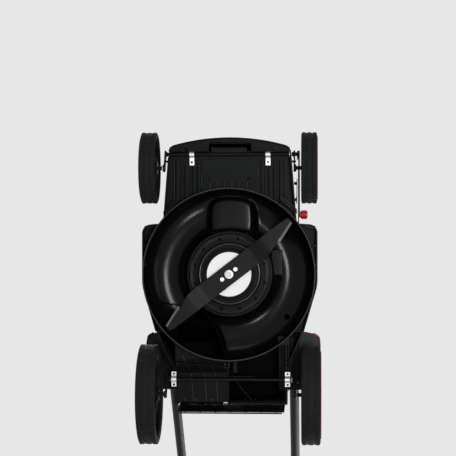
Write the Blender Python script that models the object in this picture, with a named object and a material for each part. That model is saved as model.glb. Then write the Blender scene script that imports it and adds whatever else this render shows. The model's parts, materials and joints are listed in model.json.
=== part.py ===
"""Cordless rotary lawn mower, modelled as separate pieces at real size.

Metres, +Z up, +Y to the front, +X to the right of a person who walks behind the mower.
Every piece is drawn in deck coordinates: the blade's axis is the Z axis and the ground is z = 0.
At the end the whole mower is moved so that the middle of its box lies over the world's origin.
"""

import math

import bmesh
import bpy
from mathutils import Matrix, Vector

MM = 0.001
GAP = 0.3 * MM
CUT = 20.0 * MM

# Cutting chamber
DECK_R = 217.5 * MM
DECK_WALL = 3.0 * MM
RIM_Z = 52.0 * MM
SHOULDER_Z = 96.0 * MM
CROWN_Z = 146.0 * MM
CROWN_INSET = 59.5 * MM
CROWN_R = DECK_R - CROWN_INSET
PLATEAU_R = 108.0 * MM
PLATEAU_Z = 112.3 * MM
MOTOR_HOLE_R = 80.0 * MM
BULGE_LEFT = 69.0 * MM
BULGE_RIGHT = 56.0 * MM
BULGE_LENGTH = 95.0 * MM
BULGE_INSET = 21.5 * MM
BULGE_Z = 118.0 * MM
BOSS_X = 119.0 * MM
BOSS_HALF = 15.0 * MM
BOSS_BACK = -3.0 * MM
BOSS_FRONT = 61.0 * MM
BOSS_Z = 128.0 * MM
DRAIN_R = 7.5 * MM
DRAIN_REACH = 182.0 * MM
DRAIN_ANGLE = math.radians(217.2)

# Plan of the deck and the hood
SIDE_MARGIN = 4.5 * MM
NOSE_REACH = 128.5 * MM
NOSE_TUCK = 68.0 * MM
NOSE_DEPTH = 23.0 * MM
STEP_BACK = 89.5 * MM
STEP_TUCK = 53.0 * MM
STEP_SLANT = 4.0 * MM
WAIST_BACK = 71.5 * MM
WAIST_TUCK = 35.0 * MM
TAIL_TUCK = 77.0 * MM
TAIL_START = 30.5 * MM
TAIL_REACH = 122.5 * MM
SIDE_HALF = DECK_R + SIDE_MARGIN
NOSE_Y = DECK_R + NOSE_REACH
NOSE_HALF = SIDE_HALF - NOSE_TUCK
STEP_Y = DECK_R - STEP_BACK
STEP_HALF = SIDE_HALF - STEP_TUCK
WAIST_Y = WAIST_BACK - DECK_R
WAIST_HALF = SIDE_HALF - WAIST_TUCK
TAIL_START_Y = -DECK_R - TAIL_START
TAIL_HALF = SIDE_HALF - TAIL_TUCK
TAIL_Y = -DECK_R - TAIL_REACH
TRAY_TOP = 126.0 * MM
TRAY_WALL = 3.0 * MM
SKIRT_Z = 95.0 * MM
WALL_TOP = 200.0 * MM
WALL_FOOT = 100.0 * MM
NOSE_RIB_INSETS = (72.0 * MM, 42.0 * MM, 29.0 * MM, 16.0 * MM, 4.0 * MM)
RIB_HALF = 1.3 * MM
RIB_Z = 113.0 * MM
RIB_LENGTH = 172.0 * MM
RIDGES = 6
RIDGE_PITCH = 19.0 * MM
RIDGE_LENGTH = 26.0 * MM
RECESS_HALF = 58.0 * MM
RECESS_DEPTH = 24.0 * MM
REAR_WALL = 4.0 * MM
REAR_PANEL = 4.0 * MM
WALL_SLOPE_START = 49.0 * MM
WALL_SLOPE_END = 32.0 * MM
ROD_CLEARANCE = 1.3 * MM
SADDLE_HALF = 7.5 * MM
SADDLE_REACH = 20.0 * MM
SADDLE_HEIGHT = 17.7 * MM
HOOD_WALL = 2.5 * MM
HOOD_EDGE_R = 18.0 * MM
ROOF_INSETS = (0.0, 16.0 * MM, 46.0 * MM, 106.0 * MM, 196.0 * MM, 408.0 * MM, 506.0 * MM, 646.0 * MM)
ROOF_HEIGHTS = (
    178.0 * MM,
    200.0 * MM,
    220.0 * MM,
    240.0 * MM,
    260.0 * MM,
    292.0 * MM,
    300.0 * MM,
    300.0 * MM,
)
TAIL_ROOF_Z = 290.0 * MM

# Rear shoulders
SHOULDER_MARGIN = 3.0 * MM
SHOULDER_FRONT = 14.0 * MM
SHOULDER_LENGTH = 162.0 * MM
SHOULDER_WIDTH = 105.0 * MM
SHOULDER_LOW = 293.0 * MM
SHOULDER_HIGH = 299.8 * MM
EAR_HALF = 20.0 * MM
EAR_THICK = 6.0 * MM
EAR_RISE = 15.0 * MM
TRIM_WIDTH = 6.0 * MM
TRIM_LOW = 290.0 * MM
TRIM_HIGH = 302.0 * MM

# Blade, its fixings and the motor
BLADE_CLEARANCE = 13.5 * MM
BLADE_LENGTH = 2 * (DECK_R - BLADE_CLEARANCE)
BLADE_WIDTH = 49.0 * MM
BLADE_THICK = 4.0 * MM
BLADE_TOP = 72.0 * MM
BLADE_DROP = 8.0 * MM
DROP_START = 80.0 * MM
DROP_END = 115.0 * MM
BLADE_ANGLE = math.radians(142.5)
TIP_CHAMFER = 8.0 * MM
SAIL_LENGTH = 60.0 * MM
SAIL_LIFT = 11.0 * MM
DISC_R = 56.0 * MM
DISC_THICK = 5.7 * MM
PIN_R = 5.5 * MM
PIN_REACH = 21.0 * MM
BOLT_R = 11.0 * MM
BOLT_STUD_R = 4.5 * MM
BOLT_HEX_R = 8.0 * MM
BOLT_HEAD = 8.0 * MM
BOLT_DEPTH = 22.0 * MM
SHAFT_R = 7.5 * MM
SHAFT_BOSS_R = 20.0 * MM
FLANGE_R = 103.0 * MM
FLANGE_Z = 100.0 * MM
FLANGE_HOLE_RING = 91.0 * MM
FLANGE_HOLE_R = 2.6 * MM
FLANGE_HOLES = 12
FLANGE_HOLE_START = math.radians(16.5)
FLANGE_STEP_R = 77.0 * MM
FLANGE_RIM_R = 96.0 * MM
FLANGE_STEP = 4.0 * MM
BEARING_R = 15.0 * MM
BEARING_WIDTH = 8.0 * MM
CAN_R = 74.0 * MM
CAN_WALL = 3.0 * MM
CAN_TOP = 180.0 * MM
STATOR_R = 50.0 * MM
AIR_GAP = 2.0 * MM
STATOR_LOW = 122.0 * MM
STATOR_HIGH = 168.0 * MM
CONTROLLER_LEFT = -118.0 * MM
CONTROLLER_WIDTH = 80.0 * MM
CONTROLLER_BACK = -150.0 * MM
CONTROLLER_LENGTH = 48.0 * MM
CONTROLLER_HEIGHT = 26.0 * MM
FIN_HEIGHT = 12.0 * MM
FIN_THICK = 3.0 * MM
FINS = 5

# Axles and wheels
ROD_R = 5.0 * MM
CRANK = 45.0 * MM
CRANK_ANGLE = math.radians(216.9)
FRONT_WHEEL_R = 90.0 * MM
FRONT_WHEEL_WIDTH = 41.0 * MM
FRONT_WHEEL_BACK = 78.0 * MM
FRONT_WHEEL_Y = NOSE_Y - FRONT_WHEEL_BACK
REAR_WHEEL_R = 127.0 * MM
REAR_WHEEL_WIDTH = 50.0 * MM
REAR_WHEEL_FRONT = 32.0 * MM
REAR_WHEEL_Y = TAIL_Y + REAR_WHEEL_FRONT
WHEEL_INNER_X = SIDE_HALF - FRONT_WHEEL_WIDTH
WHEEL_SIDES = 28
RIM_SHARE = 0.84
HUB_R = 16.0 * MM
TRIM_RING = 12.0 * MM
CRANK_INSET = 19.0 * MM
CRANK_X = WHEEL_INNER_X - CRANK_INSET
CRANK_THICK = 4.0 * MM
CRANK_WIDTH = 20.0 * MM
LEVER_INSET = 10.0 * MM
LEVER_X = WHEEL_INNER_X - LEVER_INSET
LEVER_HUB_WALL = 4.0 * MM
LEVER_THICK = 2.0 * MM
LEVER_LENGTH = 158.0 * MM
LEVER_ANGLE = math.radians(166.0)
ARM_LENGTH = 48.0 * MM
ARM_ANGLE = math.radians(97.5)
ARM_WIDTH = 15.0 * MM
LEVER_WIDTH = 14.0 * MM
LINK_WIDTH = 8.0 * MM
LINK_SLOT_WIDTH = 9.5 * MM
LINK_SLOT_BELOW = 26.0 * MM
LINK_SLOT_ABOVE = 8.0 * MM
LINK_THICK = 2.0 * MM
LINK_X = LEVER_X + LEVER_THICK + GAP
ARM_X = LINK_X + LINK_THICK + GAP
LINK_PIN_R = 3.0 * MM
LINK_PLAY = 0.6 * MM
KNOB_R = 11.0 * MM
KNOB_NECK_R = 8.0 * MM
KNOB_LENGTH = 19.5 * MM
QUADRANT_INNER = 112.0 * MM
QUADRANT_OUTER = 126.0 * MM
QUADRANT_START = math.radians(122.0)
QUADRANT_END = math.radians(196.0)
QUADRANT_FOOT_R = 4.0 * MM
QUADRANT_FEET = (math.radians(128.0), math.radians(172.0))
NOTCHES = 6
NOTCH_DEPTH = 5.0 * MM
NOTCH_HALF_ANGLE = math.radians(2.2)
FRONT_CLIP_X = 97.0 * MM
FRONT_CLIP_HALF = 6.0 * MM
FRONT_CLIP_TAB = 28.0 * MM
REAR_CLIP_X = TAIL_HALF + 1.0 * MM
REAR_CLIP_HALF = 6.5 * MM
REAR_CLIP_TAB = 19.0 * MM
CLIP_THICK = 1.5 * MM
CLIP_PLAY = 0.5 * MM
CLIP_HOLE_R = 2.2 * MM
CLIP_HOLE_REACH = 14.0 * MM
PLATE_HALF = 70.0 * MM
PLATE_LENGTH = 58.0 * MM
PLATE_THICK = 2.5 * MM
PLATE_HOLE_X = 50.0 * MM
PLATE_HOLE_R = 2.5 * MM

# Discharge tunnel
TUNNEL_LEFT = 5.0 * MM
TUNNEL_RIGHT = TAIL_HALF - REAR_WALL
TUNNEL_ROOF = 255.0 * MM
TUNNEL_FLOOR = 168.0 * MM
TUNNEL_WALL = 3.0 * MM
TUNNEL_NECK_Z = 150.0 * MM
TUNNEL_NECK_REACH = 92.5 * MM
TUNNEL_SLOPE_REACH = 32.5 * MM
MOUTH_Z = 104.0 * MM
FLOOR_THICK = 2.5 * MM
FLOOR_MOUTH_Z = 100.0 * MM
FLOOR_RAMP = 40.0 * MM
FLOOR_OVERLAP = 66.0 * MM
FLOOR_RIBS = 5
FLOOR_RIB_HALF = 1.0 * MM
FLOOR_RIB_DEPTH = 4.0 * MM

# Rear flap
FLAP_PIN_R = 2.5 * MM
FLAP_BACK = 7.0 * MM
FLAP_RISE = 15.0 * MM
FLAP_HALF = TAIL_HALF - 7.0 * MM
FLAP_THICK = 3.0 * MM
FLAP_HEIGHT = 128.0 * MM
FLAP_LEAN = 8.0 * MM
FLAP_NOTCH_HALF = 24.0 * MM
KNUCKLE_R = 6.0 * MM
SPRING_WIRE_R = 1.0 * MM
SPRING_PITCH = 3.0 * MM
SPRING_TURNS = 7

# Battery bay and lid
BAY_HALF = 52.0 * MM
BAY_BACK = -30.0 * MM
BAY_FRONT = 128.0 * MM
BAY_TOP = 256.0 * MM
BAY_WALL = 3.0 * MM
KEY_BLOCK_HALF = 18.0 * MM
KEY_BLOCK_TOP = 218.0 * MM
KEY_Y = -14.0 * MM
KEY_HALF = 8.0 * MM
KEY_THICK = 2.0 * MM
KEY_LOW = 192.0 * MM
KEY_HEAD_HALF = 13.0 * MM
KEY_HEAD_THICK = 4.0 * MM
KEY_TOP = 240.0 * MM
PACK_HALF = 40.0 * MM
PACK_BACK = 20.0 * MM
PACK_LENGTH = 100.0 * MM
PACK_HEIGHT = 66.0 * MM
LID_HALF = 70.0 * MM
LID_BACK = -55.0 * MM
LID_FRONT = 138.0 * MM
LID_THICK = 5.0 * MM
LID_BARREL_R = 4.0 * MM
PACK_GRIP_HALF = 22.0 * MM
PACK_GRIP_INSET = 24.0 * MM
PACK_GRIP_DEPTH = 8.0 * MM
PACK_EDGE = 3.0 * MM

# Handle
HANDLE_FRONT_OF_TAIL = 50.0 * MM
HANDLE_RISE = 25.2 * MM
HANDLE_Y = TAIL_Y + HANDLE_FRONT_OF_TAIL
HANDLE_Z = SHOULDER_HIGH + HANDLE_RISE
HANDLE_SLOPE = math.radians(48.0)
HANDLE_TUBE_R = 12.5 * MM
HANDLE_TUBE_WALL = 1.5 * MM
LOWER_INSET = 61.0 * MM
LOWER_X = SIDE_HALF - LOWER_INSET
LOWER_LENGTH = 480.0 * MM
UPPER_LENGTH = 430.0 * MM
UPPER_BEND = 45.0 * MM
TUBE_END = 16.0 * MM
GRIP_R = 16.0 * MM
GRIP_HALF = 75.0 * MM
BOLT_SHANK_R = 4.0 * MM
BOLT_HEAD_R = 9.0 * MM
BOLT_HEAD_THICK = 6.0 * MM
STUD_R = 3.5 * MM
STAR_R = 16.0 * MM
STAR_LOBE = 2.0 * MM
STAR_LOBES = 5
STAR_THICK = 16.0 * MM
SWITCH_AT = LOWER_LENGTH + 310.0 * MM
SWITCH_INNER = LOWER_X - 66.0 * MM
SWITCH_MARGIN = 5.0 * MM
SWITCH_BELOW = 45.0 * MM
SWITCH_ABOVE = 32.0 * MM
SWITCH_FRONT = 26.0 * MM
SWITCH_BACK = 20.0 * MM
MOUNT_HALF = 16.0 * MM
BUTTON_R = 8.0 * MM
BUTTON_X = -SWITCH_INNER - 13.0 * MM
BUTTON_BELOW = 28.0 * MM
BUTTON_RISE = 31.0 * MM
BUTTON_LENGTH = 12.0 * MM
BAIL_REACH = 117.0 * MM
BAIL_REST = math.radians(36.0)
BAIL_WIRE_R = 3.0 * MM
BAIL_INSET = 8.0 * MM


def clear_scene():
    for item in list(bpy.data.objects):
        bpy.data.objects.remove(item, do_unlink=True)


def material(name, colour, roughness, metallic=0.0):
    made = bpy.data.materials.new(name)
    made.use_nodes = True
    shader = made.node_tree.nodes["Principled BSDF"]
    shader.inputs["Base Color"].default_value = (*colour, 1.0)
    shader.inputs["Roughness"].default_value = roughness
    shader.inputs["Metallic"].default_value = metallic
    return made


class Group:
    """An empty on a joint's axis, which carries the pieces that move together."""

    def __init__(self, name, pivot, parent=None):
        self.pivot = Vector(pivot)
        self.empty = bpy.data.objects.new(name, None)
        self.empty.empty_display_size = 0.03
        bpy.context.scene.collection.objects.link(self.empty)
        if parent:
            self.empty.parent = parent.empty
            self.empty.location = self.pivot - parent.pivot
        else:
            self.empty.location = self.pivot

    def add(self, name, bm, look):
        """Turn a bmesh in deck coordinates into a piece of this group."""
        bmesh.ops.translate(bm, verts=bm.verts, vec=-self.pivot)
        bmesh.ops.recalc_face_normals(bm, faces=bm.faces)
        mesh = bpy.data.meshes.new(name)
        bm.to_mesh(mesh)
        bm.free()
        mesh.shade_smooth()
        mesh.set_sharp_from_angle(angle=math.radians(32.0))
        mesh.materials.append(look)
        piece = bpy.data.objects.new(name, mesh)
        bpy.context.scene.collection.objects.link(piece)
        piece.parent = self.empty
        return piece


def box(low, high):
    bm = bmesh.new()
    size = Vector(high) - Vector(low)
    middle = (Vector(high) + Vector(low)) / 2
    bmesh.ops.create_cube(bm, size=1.0, matrix=Matrix.Translation(middle) @ Matrix.Diagonal((*size, 1.0)))
    return bm


def rod(start, end, radius, sides=16):
    """A round bar between two points."""
    start = Vector(start)
    end = Vector(end)
    span = end - start
    turn = span.to_track_quat("Z", "Y").to_matrix().to_4x4()
    bm = bmesh.new()
    bmesh.ops.create_cone(
        bm,
        cap_ends=True,
        segments=sides,
        radius1=radius,
        radius2=radius,
        depth=span.length,
        matrix=Matrix.Translation((start + end) / 2) @ turn,
    )
    return bm


def ring(start, end, outer, inner, sides=24):
    """A round bar with a bore through it."""
    start = Vector(start)
    end = Vector(end)
    length = (end - start).length
    profile = [(inner, 0.0), (outer, 0.0), (outer, length), (inner, length)]
    bm = turned(profile, sides)
    turn = (end - start).to_track_quat("Z", "Y").to_matrix().to_4x4()
    bmesh.ops.transform(bm, verts=bm.verts, matrix=Matrix.Translation(start) @ turn)
    return bm


def turned(profile, sides):
    """A closed (radius, height) profile, turned about Z."""
    bm = bmesh.new()
    points = [bm.verts.new((radius, 0.0, height)) for radius, height in profile]
    edges = []
    for index, point in enumerate(points):
        after = points[(index + 1) % len(points)]
        if point.co.x < 1e-9 and after.co.x < 1e-9:
            continue
        edges.append(bm.edges.new((point, after)))
    bmesh.ops.spin(
        bm,
        geom=points + edges,
        axis=(0.0, 0.0, 1.0),
        cent=(0.0, 0.0, 0.0),
        steps=sides,
        angle=2 * math.pi,
        use_merge=True,
    )
    bmesh.ops.remove_doubles(bm, verts=bm.verts, dist=1e-6)
    return bm


def prism(outline, low, high, along="Z"):
    """An outline pushed along an axis: (x, y) along Z, (y, z) along X, (x, z) along Y."""
    place = {
        "Z": lambda a, b, level: (a, b, level),
        "X": lambda a, b, level: (level, a, b),
        "Y": lambda a, b, level: (a, level, b),
    }[along]
    bm = bmesh.new()
    bottom = [bm.verts.new(place(a, b, low)) for a, b in outline]
    top = [bm.verts.new(place(a, b, high)) for a, b in outline]
    bm.faces.new(bottom)
    bm.faces.new(top)
    for index in range(len(outline)):
        after = (index + 1) % len(outline)
        bm.faces.new((bottom[index], bottom[after], top[after], top[index]))
    bmesh.ops.recalc_face_normals(bm, faces=bm.faces)
    return bm


def loft(rings):
    """Closed rings of equal length, joined side by side and closed at both ends."""
    bm = bmesh.new()
    rows = [[bm.verts.new(point) for point in row] for row in rings]
    count = len(rows[0])
    for lower, upper in zip(rows, rows[1:]):
        for index in range(count):
            after = (index + 1) % count
            bm.faces.new((lower[index], lower[after], upper[after], upper[index]))
    bm.faces.new(rows[0])
    bm.faces.new(rows[-1])
    bmesh.ops.recalc_face_normals(bm, faces=bm.faces)
    return bm


def combined(base, *steps):
    """Join, cut or intersect bmeshes in turn; each step is (operation, bmesh)."""

    def temporary(bm):
        bmesh.ops.recalc_face_normals(bm, faces=bm.faces)
        mesh = bpy.data.meshes.new("work")
        bm.to_mesh(mesh)
        bm.free()
        item = bpy.data.objects.new("work", mesh)
        bpy.context.scene.collection.objects.link(item)
        return item

    target = temporary(base)
    tools = []
    for operation, bm in steps:
        tool = temporary(bm)
        tools.append(tool)
        modifier = target.modifiers.new("Boolean", "BOOLEAN")
        modifier.operation = operation
        modifier.solver = "EXACT"
        modifier.object = tool
    depsgraph = bpy.context.evaluated_depsgraph_get()
    result = bmesh.new()
    result.from_object(target, depsgraph)
    for item in [target, *tools]:
        mesh = item.data
        bpy.data.objects.remove(item, do_unlink=True)
        bpy.data.meshes.remove(mesh)
    bmesh.ops.remove_doubles(result, verts=result.verts, dist=2e-6)
    bmesh.ops.dissolve_degenerate(result, edges=result.edges, dist=1e-6)
    return result


def join(base, *others):
    return combined(base, *[("UNION", other) for other in others])


def cut(base, *others):
    return combined(base, *[("DIFFERENCE", other) for other in others])


def arc(centre, radius, start, end, count):
    """Points on a circle from one angle to another."""
    return [
        (
            centre[0] + radius * math.cos(start + (end - start) * index / count),
            centre[1] + radius * math.sin(start + (end - start) * index / count),
        )
        for index in range(count + 1)
    ]


def rounded(corners, count=4):
    """An open run of (x, y, radius) corners with each corner rounded."""
    points = []
    for index, (x, y, radius) in enumerate(corners):
        here = Vector((x, y))
        if radius == 0 or index in (0, len(corners) - 1):
            points.append((x, y))
            continue
        before = (Vector(corners[index - 1][:2]) - here).normalized()
        after = (Vector(corners[index + 1][:2]) - here).normalized()
        half = before.angle(after) / 2
        reach = radius / math.tan(half)
        centre = here + (before + after).normalized() * radius / math.sin(half)
        first = here + before * reach - centre
        last = here + after * reach - centre
        start = math.atan2(first.y, first.x)
        sweep = math.atan2(first.x * last.y - first.y * last.x, first.dot(last))
        points += arc(centre, radius, start, start + sweep, count)
    return points


def mirrored(half):
    """A right half, listed from the nose to the tail, with its left half."""
    left = [(-x, y) for x, y in reversed(half) if abs(x) > 1e-9]
    return half + left


def inset(outline, distance):
    """The outline moved inwards by a distance, corner by corner."""
    moved = []
    count = len(outline)
    area = sum(
        outline[i][0] * outline[(i + 1) % count][1] - outline[(i + 1) % count][0] * outline[i][1]
        for i in range(count)
    )
    side = 1.0 if area > 0 else -1.0
    for index, point in enumerate(outline):
        here = Vector(point)
        before = (here - Vector(outline[index - 1])).normalized()
        after = (Vector(outline[(index + 1) % count]) - here).normalized()
        normal = Vector((-(before + after).y, (before + after).x)).normalized() * side
        stretch = max(0.5, normal.dot(Vector((-after.y, after.x)) * side))
        moved.append(tuple(here + normal * distance / stretch))
    return moved


def thick_path(path, thickness):
    """A closed outline that runs along a path and back at a distance to its left."""
    back = []
    for index, point in enumerate(path):
        here = Vector(point)
        before = (here - Vector(path[index - 1])).normalized() if index else None
        after = (Vector(path[index + 1]) - here).normalized() if index + 1 < len(path) else None
        before = before or after
        after = after or before
        normal = Vector((-(before + after).y, (before + after).x)).normalized()
        stretch = max(0.4, normal.dot(Vector((-after.y, after.x))))
        back.append(tuple(here + normal * thickness / stretch))
    return list(path) + back[::-1]


def sweep(path, outer, sides=12, wall=None, spare=8.0 * MM):
    """A round tube along a path of points; with a wall it is open at both ends."""

    def curve_mesh(points, radius):
        curve = bpy.data.curves.new("work", "CURVE")
        curve.dimensions = "3D"
        curve.bevel_depth = radius
        curve.bevel_resolution = sides // 2 - 2
        curve.use_fill_caps = True
        spline = curve.splines.new("POLY")
        spline.points.add(len(points) - 1)
        for point, place in zip(spline.points, points):
            point.co = (*place, 1.0)
        item = bpy.data.objects.new("work", curve)
        bpy.context.scene.collection.objects.link(item)
        mesh = bpy.data.meshes.new_from_object(item.evaluated_get(bpy.context.evaluated_depsgraph_get()))
        bm = bmesh.new()
        bm.from_mesh(mesh)
        bmesh.ops.remove_doubles(bm, verts=bm.verts, dist=1e-6)
        bmesh.ops.recalc_face_normals(bm, faces=bm.faces)
        bpy.data.objects.remove(item, do_unlink=True)
        bpy.data.curves.remove(curve)
        bpy.data.meshes.remove(mesh)
        return bm

    solid = curve_mesh(path, outer)
    if wall is None:
        return solid
    points = [Vector(point) for point in path]
    points[0] += (points[0] - points[1]).normalized() * spare
    points[-1] += (points[-1] - points[-2]).normalized() * spare
    return cut(solid, curve_mesh(points, outer - wall))


def polar(centre, radius, angle):
    """A (y, z) point at an angle from +Y towards +Z."""
    return (centre[0] + radius * math.cos(angle), centre[1] + radius * math.sin(angle))


def bar(centre, reach, angle, width, x_low, x_high, sides=5):
    """A flat bar with round ends that starts at a (y, z) centre and lies in an X plane."""
    half = width / 2
    tip = polar(centre, reach, angle)
    quarter = math.pi / 2
    outline = arc(centre, half, angle + quarter, angle + 3 * quarter, sides)
    outline += arc(tip, half, angle - quarter, angle + quarter, sides)
    return prism(outline, x_low, x_high, "X")


# Places that several pieces share
FLAP_PIVOT = (TAIL_Y - FLAP_BACK, TUNNEL_ROOF + FLAP_RISE)
FRONT_PIVOT = (
    FRONT_WHEEL_Y - CRANK * math.cos(CRANK_ANGLE),
    FRONT_WHEEL_R - CRANK * math.sin(CRANK_ANGLE),
)
REAR_PIVOT = (
    REAR_WHEEL_Y - CRANK * math.cos(CRANK_ANGLE),
    REAR_WHEEL_R - CRANK * math.sin(CRANK_ANGLE),
)
FRONT_LINK = polar(FRONT_PIVOT, ARM_LENGTH, ARM_ANGLE)
REAR_LINK = polar(REAR_PIVOT, ARM_LENGTH, ARM_ANGLE)
BLADE_BOTTOM = BLADE_TOP - BLADE_THICK
DISC_BOTTOM = BLADE_TOP + GAP
DISC_TOP = DISC_BOTTOM + DISC_THICK
FLANGE_TOP = PLATEAU_Z - GAP
UPPER_X = LOWER_X - 2 * HANDLE_TUBE_R - 2 * GAP
HANDLE_UP = Vector((0.0, -math.cos(HANDLE_SLOPE), math.sin(HANDLE_SLOPE)))
HANDLE_FRONT = Vector((0.0, math.sin(HANDLE_SLOPE), math.cos(HANDLE_SLOPE)))
PLATE_TOP = TRAY_TOP - TRAY_WALL - GAP
PACK_LOW = CAN_TOP + BAY_WALL + 2 * GAP
KNOB_START = LOWER_X + HANDLE_TUBE_R + GAP
ROOF_LINE = [(NOSE_Y - back, z) for back, z in zip(ROOF_INSETS, ROOF_HEIGHTS)]
ROOF_LINE.append((TAIL_Y, TAIL_ROOF_Z))


def roof_z(y):
    """Height of the hood's top along the mower."""
    for (y_front, z_front), (y_back, z_back) in zip(ROOF_LINE, ROOF_LINE[1:]):
        if y >= y_back:
            share = (y_front - y) / (y_front - y_back)
            return z_front + (z_back - z_front) * min(1.0, max(0.0, share))
    return ROOF_LINE[-1][1]


def along_handle(distance, x=0.0, rise=0.0):
    """A point at a distance up the handle from its lower pivot."""
    pivot = Vector((0.0, HANDLE_Y, HANDLE_Z))
    return pivot + HANDLE_UP * distance + HANDLE_FRONT * rise + Vector((x, 0.0, 0.0))


def nose_arc():
    """The right half of the nose, from its middle to the corner."""
    radius = (NOSE_HALF**2 + NOSE_DEPTH**2) / (2 * NOSE_DEPTH)
    spread = math.asin(NOSE_HALF / radius)
    reach = spread * 0.86
    return arc((0.0, NOSE_Y - radius), radius, math.pi / 2, math.pi / 2 - reach, 4)


def body_plan(tail):
    """The plan outline of the deck and the hood, down to a tail of given corners."""
    corners = [
        (*nose_arc()[-1], 0.0),
        (NOSE_HALF, NOSE_Y - NOSE_DEPTH, 20.0 * MM),
        (STEP_HALF, STEP_Y, 7.0 * MM),
        (SIDE_HALF, STEP_Y - STEP_SLANT, 22.0 * MM),
        (SIDE_HALF, -30.0 * MM, 120.0 * MM),
        *tail,
    ]
    return mirrored(nose_arc()[:-1] + rounded(corners))


def with_stations(outline, heights):
    """The outline with a point wherever it crosses one of the given y values."""
    points = []
    for index, here in enumerate(outline):
        after = outline[(index + 1) % len(outline)]
        points.append(here)
        crossing = [
            (y, (y - here[1]) / (after[1] - here[1]))
            for y in heights
            if min(here[1], after[1]) + 1.5 * MM < y < max(here[1], after[1]) - 1.5 * MM
        ]
        for y, share in sorted(crossing, key=lambda item: item[1]):
            points.append((here[0] + (after[0] - here[0]) * share, y))
    return points


def chamber_line():
    """The underside of the cutting chamber, from the rim to the middle plateau."""
    inner_r = DECK_R - DECK_WALL
    outer_side = [
        (
            CROWN_R + (inner_r - CROWN_R) * math.cos(angle),
            SHOULDER_Z + (CROWN_Z - SHOULDER_Z) * math.sin(angle),
        )
        for angle in [math.pi / 2 * step / 5 for step in range(6)]
    ]
    inner_side = [
        (
            CROWN_R - (CROWN_R - PLATEAU_R) * math.sin(angle),
            PLATEAU_Z + (CROWN_Z - PLATEAU_Z) * math.cos(angle),
        )
        for angle in [math.pi / 2 * step / 3 for step in range(1, 4)]
    ]
    return [(inner_r, RIM_Z)] + outer_side + inner_side


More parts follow.
